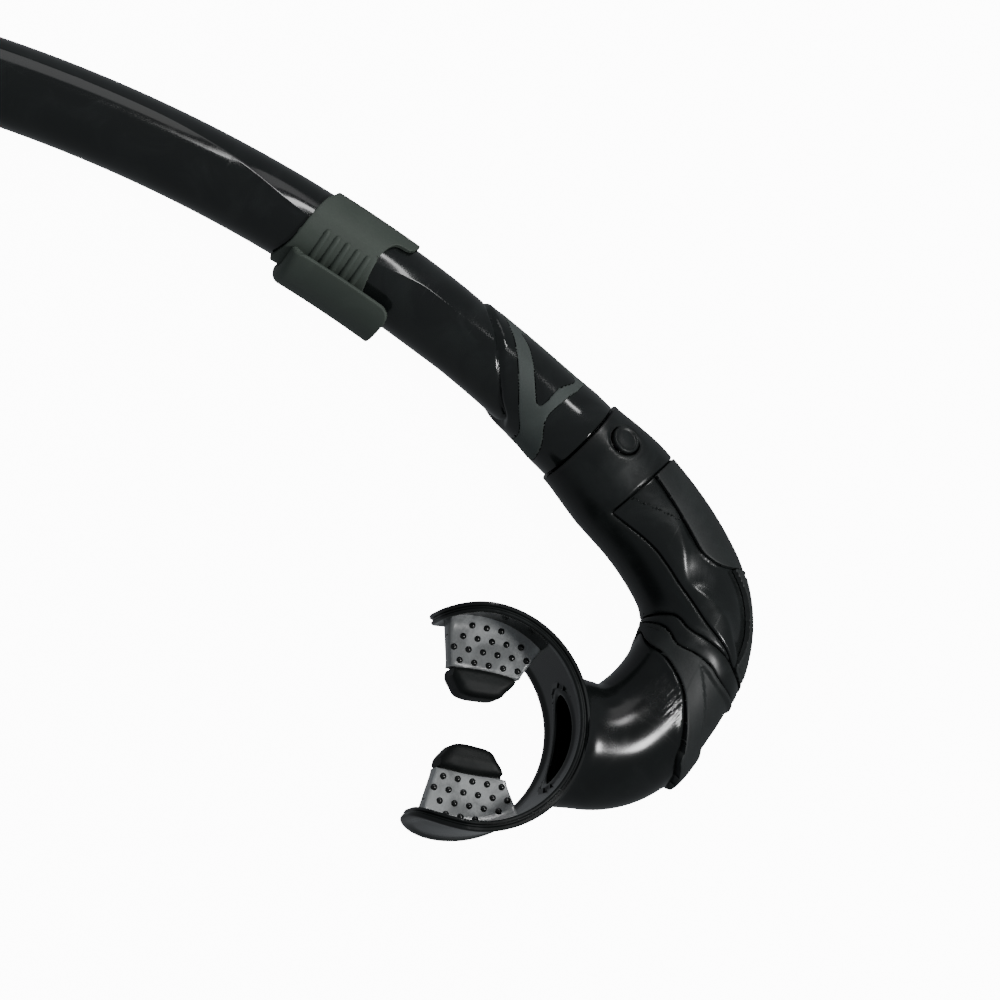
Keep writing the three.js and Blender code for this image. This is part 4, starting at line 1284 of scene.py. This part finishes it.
def row_tree(name):
    """Geometry nodes that repeat a piece along a straight row."""
    tree, ends, on_points, sockets = repeating_tree(name, Count="Int", Step="Vector")
    row = node(tree, "GeometryNodeMeshLine", mode="OFFSET")
    tree.links.new(ends.outputs["Count"], row.inputs["Count"])
    tree.links.new(ends.outputs["Step"], row.inputs["Offset"])
    tree.links.new(row.outputs["Mesh"], on_points.inputs["Points"])
    tree.links.new(ends.outputs["Geometry"], on_points.inputs["Instance"])
    return tree, sockets


def grown_by_nodes(name, source_mesh, tree, sockets, values, sharp=38):
    """Runs a node tree on a mesh and keeps its result as a plain mesh object."""
    source = bpy.data.objects.new(name + "_source", source_mesh)
    bpy.context.scene.collection.objects.link(source)
    modifier = source.modifiers.new("Repeat", "NODES")
    modifier.node_group = tree
    for socket, value in values.items():
        modifier[sockets[socket]] = value
    graph = bpy.context.evaluated_depsgraph_get()
    mesh = bpy.data.meshes.new_from_object(source.evaluated_get(graph))
    bpy.data.objects.remove(source)
    mesh.name = name
    mesh.shade_smooth()
    mesh.set_sharp_from_angle(angle=math.radians(sharp))
    piece = bpy.data.objects.new(name, mesh)
    bpy.context.scene.collection.objects.link(piece)
    return piece


def point_mesh(name, points):
    mesh = bpy.data.meshes.new(name)
    mesh.from_pydata(((np.array(points) + SEAM) * MM).tolist(), [], [])
    return mesh


def rib_mesh():
    """One grip rib on the keeper's collar, tapering at both ends."""
    first, last = 0.3, 1.4
    count, sides = 48, 14
    vertices, faces = [], []
    for i, angle in enumerate(np.linspace(first, last, count)):
        share = math.sqrt(1.001 - abs(2 * i / (count - 1) - 1) ** 14)
        for k in range(sides):
            turn = 2 * math.pi * k / sides
            station = 84.6 + 1.1 * share * math.cos(turn)
            r = KEEPER_BORE + KEEPER_WALL - 0.2 + 0.95 * share * math.sin(turn)
            vertices.append((station, r * math.cos(angle), r * math.sin(angle)))
    for i in range(count - 1):
        for k in range(sides):
            m = (k + 1) % sides
            faces.append((i * sides + k, i * sides + m, (i + 1) * sides + m, (i + 1) * sides + k))
    faces.append(tuple(reversed(range(sides))))
    faces.append(tuple(range((count - 1) * sides, count * sides)))
    vertices = np.array(vertices)
    placed = BARREL_SPINE.place(*vertices.T)
    placed, faces, _ = tidy(placed, faces, placed[:, :2])
    mesh = bpy.data.meshes.new("keeper_rib")
    mesh.from_pydata(((placed + SEAM) * MM).tolist(), [], faces)
    return mesh


# ---------- Air inlet ----------
INLET = BARREL_SPINE.matrix(BARREL_LENGTH)


def path_surface(profile, matrix):
    """A surface turned about a frame's X axis; p runs along its profile and q is the angle."""
    profile = np.array(profile, float)
    steps = np.hypot(*np.diff(profile, axis=0).T)
    length = np.concatenate([[0], np.cumsum(steps)])
    slope = np.gradient(profile, length, axis=0)
    slope /= np.linalg.norm(slope, axis=1)[:, None]
    normal = np.stack([-slope[:, 1], slope[:, 0]], 1)

    def place(p, q, offset):
        spot = np.stack([np.interp(p, length, profile[:, k]) for k in (0, 1)], 1)
        out = np.stack([np.interp(p, length, normal[:, k]) for k in (0, 1)], 1)
        spot = spot + out * np.reshape(offset, (-1, 1))
        r = np.maximum(spot[:, 1], 0)
        return transformed(np.stack([spot[:, 0], r * np.cos(q), r * np.sin(q)], 1), matrix)
    return Plate(place), length[-1]


def hood_parts():
    turn = np.linspace(0, QUARTER, 30)
    dome = [(22 + 8 * math.sin(a), GUARD_RADIUS * math.cos(a) ** 0.55 if a < QUARTER else 0.0) for a in turn]
    surface, total = path_surface([(4.3, GUARD_RADIUS), (10, GUARD_RADIUS), (16, GUARD_RADIUS)] + dome, INLET)

    def windows(p, q):
        fields = []
        for k in range(4):
            aside = (q - k * QUARTER + math.pi) % (2 * math.pi) - math.pi
            fields.append(slab_field(4, 4.5, 1.8, (12.2, 0))(p, aside * GUARD_RADIUS))
        return np.maximum.reduce(fields)
    domain = both(without(windows), lambda p, q: p - 0.02)

    def outer(p, q, d):
        return -edge_drop(d, 0.45) - 0.25 * hump(p - 4.2, 0.7)
    return shell(surface, np.linspace(0, total, 70), FINE_ANGLES, domain, outer, steady(-GUARD_WALL),
                 edge=0.45, features=((lambda p, q: p - 4.2, (-0.7, 0, 0.7)),))


def inlet_collar_parts():
    inside = BARREL_RADIUS + 0.6
    profile = [(-14, inside), (-14, inside + 1.1), (-10.5, inside + 1.6), (-3, GUARD_RADIUS - 0.3),
               (-1.5, GUARD_RADIUS), (4, GUARD_RADIUS), (4, GUARD_RADIUS - GUARD_WALL),
               (1.3, GUARD_RADIUS - GUARD_WALL), (1.3, inside)]
    return turned_body(softened(profile, 0.7), INLET)


def vane_parts():
    outside = BARREL_BORE - GAP
    section = [(-8, outside - 1), (-8, outside), (-1, outside), (-1, outside - 1)]
    ring = turned_body(softened(section, 0.3), INLET)
    cap = turned_body(softened([(7.2, 0), (5.2, 9.4), (6, 9.9), (9.5, 6.2), (11, 4), (12, 0)], 0.6), INLET)
    posts = []
    for k in range(3):
        angle = math.pi / 6 + k * 2 * math.pi / 3
        matrix = INLET @ Matrix.Rotation(angle, 4, "X") @ Matrix.Translation((1.5, 0, outside - 0.6))
        posts.append(block((4.6, 1, 0.55), matrix))
    return [ring, cap, *posts]


def block(half, matrix):
    """A box with its long edges taken off."""
    x, y, z = half
    cutoff = min(y, z) * 0.35
    section = [(-y + cutoff, -z), (y - cutoff, -z), (y, -z + cutoff), (y, z - cutoff), (y - cutoff, z),
               (-y + cutoff, z), (-y, z - cutoff), (-y, -z + cutoff)]
    vertices = np.array([(end, a, b) for end in (-x, x) for a, b in section])
    count = len(section)
    faces = [tuple(range(count)), tuple(reversed(range(count, 2 * count)))]
    faces += [(k, count + k, count + (k + 1) % count, (k + 1) % count) for k in range(count)]
    return transformed(vertices, matrix), faces, vertices[:, :2]


# ---------- Operators ----------
class PieceOperator:
    bl_options = {"REGISTER", "UNDO"}

    def execute(self, context):
        self.make(settings())
        return {"FINISHED"}


class SNORKEL_OT_barrel(PieceOperator, bpy.types.Operator):
    """Curved barrel with its soft inlay"""
    bl_idname = "snorkel.barrel"
    bl_label = "Barrel"

    def make(self, values):
        new_piece("barrel_tube", [barrel_parts()], "tube", "barrel_gloss", ["barrel"])
        new_piece("soft_inlay", [inlay_parts()], "tube", "inlay_grey", ["barrel_inlay"])


class SNORKEL_OT_chamber(PieceOperator, bpy.types.Operator):
    """Collar and chamber with the shells that lie on it"""
    bl_idname = "snorkel.chamber"
    bl_label = "Chamber and shells"

    def make(self, values):
        for name, parts, slot, cad in (
            ("chamber", chamber_parts, "chamber_satin", "chamber_body"),
            ("gloss_cover", cover_parts, "cover_gloss", "purge_cover"),
            ("outer_trim", trim_parts, "trim_matte", "cover_trim"),
            ("vent_guard", guard_parts, "trim_matte", "purge_guard"),
            ("crescent_ring", ring_parts, "chamber_satin", "outlet_ring"),
            ("hook_fin", fin_parts, "trim_matte", "outlet_fin"),
        ):
            new_piece(name, [parts()], "lower_unit", slot, [cad])


class SNORKEL_OT_mouthpiece(PieceOperator, bpy.types.Operator):
    """Silicone mouthpiece: duct, lip flange, tongues with lugs, pads and bumps"""
    bl_idname = "snorkel.mouthpiece"
    bl_label = "Mouthpiece"

    def make(self, values):
        lugs = [cushion(side, LUG_OUTLINE, 5.5, 2.4, swell=lug_swell) for side in (-1, 1)]
        tongues = [cushion(side, TAB_OUTLINE, 1.5, 0.6) for side in (-1, 1)]
        rough = [(*part, 1) for part in (*lugs, *tongues)]
        new_piece("silicone_mouthpiece", [duct_parts(), flange_parts(), *rough], "lower_unit",
                  "black_silicone", ["mouthpiece"], second_finish=["rough_silicone"])
        tree, sockets = points_tree("Studs on points")
        for side, name in ((-1, "front"), (1, "rear")):
            new_piece(f"{name}_pad", [pad_parts(side)], "lower_unit", "clear_silicone", [f"bite_pad_{name}"])
            spots = bump_places(values.bump_spacing / MM)
            tops = PAD_HALF + pad_swell(*spots.T) - 0.05
            points = np.vstack([mouth_place(spots[:, 0], side * spots[:, 1], sign * tops)
                                for sign in (-1, 1)])
            bumps = grown_by_nodes(f"{name}_pad_bumps", point_mesh("bump_points", points), tree, sockets,
                                   {"Radius": values.bump_radius, "Height": values.bump_height,
                                    "Finish": finish("black_silicone")})
            dress(bumps, "lower_unit", "black_silicone")


class SNORKEL_OT_keeper(PieceOperator, bpy.types.Operator):
    """Sliding strap keeper with its hook and grip ribs"""
    bl_idname = "snorkel.keeper"
    bl_label = "Strap keeper"

    def make(self, values):
        new_piece("strap_keeper", [keeper_collar(), keeper_hook()], "keeper", "keeper_grey", ["keeper_clip"])
        tree, sockets = row_tree("Row of ribs")
        heading = float(BARREL_SPINE.at(KEEPER_STATION)[2])
        step = Vector((math.cos(heading), math.sin(heading), 0)) * values.rib_spacing
        ribs = grown_by_nodes("keeper_ribs", rib_mesh(), tree, sockets,
                              {"Count": values.rib_count, "Step": step, "Finish": finish("keeper_grey")})
        dress(ribs, "keeper", "keeper_grey")


class SNORKEL_OT_button(PieceOperator, bpy.types.Operator):
    """Dished release button on the collar"""
    bl_idname = "snorkel.button"
    bl_label = "Release button"

    def make(self, values):
        out = -press_direction()
        x, y, _ = ELBOW_SPINE.at(BUTTON_STATION)
        place = Matrix.Translation((float(x), float(y), 0))
        matrix = place @ out.to_track_quat("X", "Z").to_matrix().to_4x4()
        profile = [(15.2, 0), (15.2, BUTTON_RADIUS), (16.6, BUTTON_RADIUS), (16.95, 3.95), (16.95, 3.55),
                   (16.62, 3.1), (16.6, 2.6), (16.78, 1.2), (16.82, 0)]
        new_piece("round_button", [turned_body(softened(profile, 0.2), matrix)], "release", "chamber_satin",
                  ["release_button"], sharp=50)


class SNORKEL_OT_inlet(PieceOperator, bpy.types.Operator):
    """Splash guard at the air inlet"""
    bl_idname = "snorkel.inlet"
    bl_label = "Air inlet"

    def make(self, values):
        new_piece("inlet_cuff", [inlet_collar_parts()], "tube", "chamber_satin", ["inlet_collar"])
        new_piece("inlet_hood", [hood_parts()], "tube", "chamber_satin", ["splash_hood"])
        new_piece("inlet_vane", vane_parts(), "tube", "inner_black", ["splash_vane"])


class SNORKEL_OT_inner_parts(PieceOperator, bpy.types.Operator):
    """Finishes for the frame's own inner parts"""
    bl_idname = "snorkel.inner_parts"
    bl_label = "Inner parts"

    def make(self, values):
        slots = {part["node"]: part["material_slot"] for part in frame["record"]["subparts"]}
        for name, piece in frame["nodes"].items():
            if not piece.hide_render:
                piece.data.materials.clear()
                piece.data.materials.append(finish(slots[name]))


# ---------- Stage ----------
CAMERA_AIM = np.array((11.9, 29.3, 0.0))
CAMERA_TURN = 61.83
CAMERA_RISE = 67.99
CAMERA_ROLL = 59.53
CAMERA_DISTANCE = 0.9
CAMERA_LENS = 109.2


def aimed(name, data, turn, rise, distance, roll=0.0):
    """A camera or light that looks at the aim from a turn about Z and a rise above level."""
    turn, rise = math.radians(turn), math.radians(rise)
    back = Vector((math.cos(turn) * math.cos(rise), math.sin(turn) * math.cos(rise), math.sin(rise)))
    right = Vector((-math.sin(turn), math.cos(turn), 0))
    up = back.cross(right)
    rolled = right * math.cos(math.radians(roll)) + up * math.sin(math.radians(roll))
    basis = Matrix((rolled, back.cross(rolled), back)).transposed().to_4x4()
    made = bpy.data.objects.new(name, data)
    made.matrix_world = Matrix.Translation(Vector((SEAM + CAMERA_AIM) * MM) + back * distance) @ basis
    bpy.context.scene.collection.objects.link(made)
    return made


def softbox(name, turn, rise, distance, width, height, power):
    light = bpy.data.lights.new(name, "AREA")
    light.shape = "RECTANGLE"
    light.size, light.size_y = width, height
    light.energy = power
    return aimed(name, light, turn, rise, distance)


class SNORKEL_OT_stage(PieceOperator, bpy.types.Operator):
    """Pale floor, soft light and camera"""
    bl_idname = "snorkel.stage"
    bl_label = "Stage"

    def make(self, values):
        half = 6.0
        corners = [(-half, -half, 0), (half, -half, 0), (half, half, 0), (-half, half, 0)]
        mesh = bpy.data.meshes.new("floor")
        mesh.from_pydata(corners, [], [(0, 1, 2, 3)])
        paper = bpy.data.materials.new("pale_paper")
        paper.use_nodes = True
        shader = paper.node_tree.nodes["Principled BSDF"]
        shader.inputs["Base Color"].default_value = (0.9, 0.9, 0.9, 1)
        shader.inputs["Roughness"].default_value = 0.9
        shader.inputs["Emission Color"].default_value = (1, 1, 1, 1)
        shader.inputs["Emission Strength"].default_value = values.floor_glow
        mesh.materials.append(paper)
        floor = bpy.data.objects.new("floor", mesh)
        floor.visible_glossy = False
        floor.visible_diffuse = False
        bpy.context.scene.collection.objects.link(floor)
        floor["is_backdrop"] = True
        world = bpy.data.worlds.new("studio")
        world.use_nodes = True
        world.node_tree.nodes["Background"].inputs["Color"].default_value = (0.9, 0.95, 1, 1)
        world.node_tree.nodes["Background"].inputs["Strength"].default_value = values.room_light
        bpy.context.scene.world = world
        softbox("key_box", 188, 59, 0.85, 0.16, 0.1, 3.0)
        softbox("top_box", -88, 57, 0.9, 0.2, 0.1, 0.9)
        softbox("wide_box", -70, 40, 1.3, 0.7, 0.4, 0.9)
        lens = bpy.data.cameras.new("camera")
        lens.lens = CAMERA_LENS
        camera = aimed("camera", lens, CAMERA_TURN, CAMERA_RISE, CAMERA_DISTANCE, roll=CAMERA_ROLL)
        lens.clip_start, lens.clip_end = 0.01, 50
        bpy.context.scene.camera = camera


# ---------- Settings, panel and run ----------
class SnorkelSettings(bpy.types.PropertyGroup):
    black: bpy.props.FloatVectorProperty(
        name="Black", description="Colour of the black mouldings", subtype="COLOR", size=3,
        default=(0.0105, 0.0125, 0.0122))
    grey: bpy.props.FloatVectorProperty(
        name="Inlay grey", description="Colour of the barrel's soft inlay", subtype="COLOR", size=3,
        default=(0.085, 0.1, 0.094))
    keeper: bpy.props.FloatVectorProperty(
        name="Keeper grey", description="Colour of the strap keeper", subtype="COLOR", size=3,
        default=(0.085, 0.104, 0.088))
    pad: bpy.props.FloatVectorProperty(
        name="Pad grey", description="Colour of the bite pads", subtype="COLOR", size=3,
        default=(0.25, 0.26, 0.26))
    bump_radius: bpy.props.FloatProperty(
        name="Bump radius", description="Radius of the bumps on the bite pads", unit="LENGTH", default=0.001)
    bump_height: bpy.props.FloatProperty(
        name="Bump height", description="How far the bumps stand up", unit="LENGTH", default=0.0006)
    bump_spacing: bpy.props.FloatProperty(
        name="Bump spacing", description="Distance between bumps", unit="LENGTH", default=0.0045)
    rib_count: bpy.props.IntProperty(
        name="Ribs", description="Number of grip ribs on the keeper", default=5, min=1, max=6)
    rib_spacing: bpy.props.FloatProperty(
        name="Rib spacing", description="Distance between the grip ribs", unit="LENGTH", default=0.0035)
    room_light: bpy.props.FloatProperty(
        name="Room light", description="Strength of the even light all round", default=0.2)
    floor_glow: bpy.props.FloatProperty(
        name="Floor glow", description="How much the pale floor lights itself", default=12.0)


class SNORKEL_PT_panel(bpy.types.Panel):
    bl_label = "Snorkel"
    bl_idname = "SNORKEL_PT_panel"
    bl_space_type = "VIEW_3D"
    bl_region_type = "UI"
    bl_category = "Snorkel"

    def draw(self, context):
        for name in SnorkelSettings.__annotations__:
            self.layout.prop(settings(), name)
        for operator in OPERATORS:
            self.layout.operator(operator.bl_idname)


OPERATORS = (SNORKEL_OT_stage, SNORKEL_OT_barrel, SNORKEL_OT_chamber, SNORKEL_OT_mouthpiece,
             SNORKEL_OT_keeper, SNORKEL_OT_button, SNORKEL_OT_inlet, SNORKEL_OT_inner_parts)
CLASSES = (SnorkelSettings, *OPERATORS, SNORKEL_PT_panel)


def register():
    for item in CLASSES:
        bpy.utils.register_class(item)
    bpy.types.Scene.snorkel_dressing = bpy.props.PointerProperty(type=SnorkelSettings)


def unregister():
    del bpy.types.Scene.snorkel_dressing
    for item in reversed(CLASSES):
        bpy.utils.unregister_class(item)


def main():
    register()
    for operator in OPERATORS:
        group_name, name = operator.bl_idname.split(".")
        getattr(getattr(bpy.ops, group_name), name)()
    boxes = {"cad_box": CAD_BOX, "visual_box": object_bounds()}
    sizes = {name: [list(corner) for corner in box] for name, box in boxes.items()}


if __name__ == "__main__":
    main()
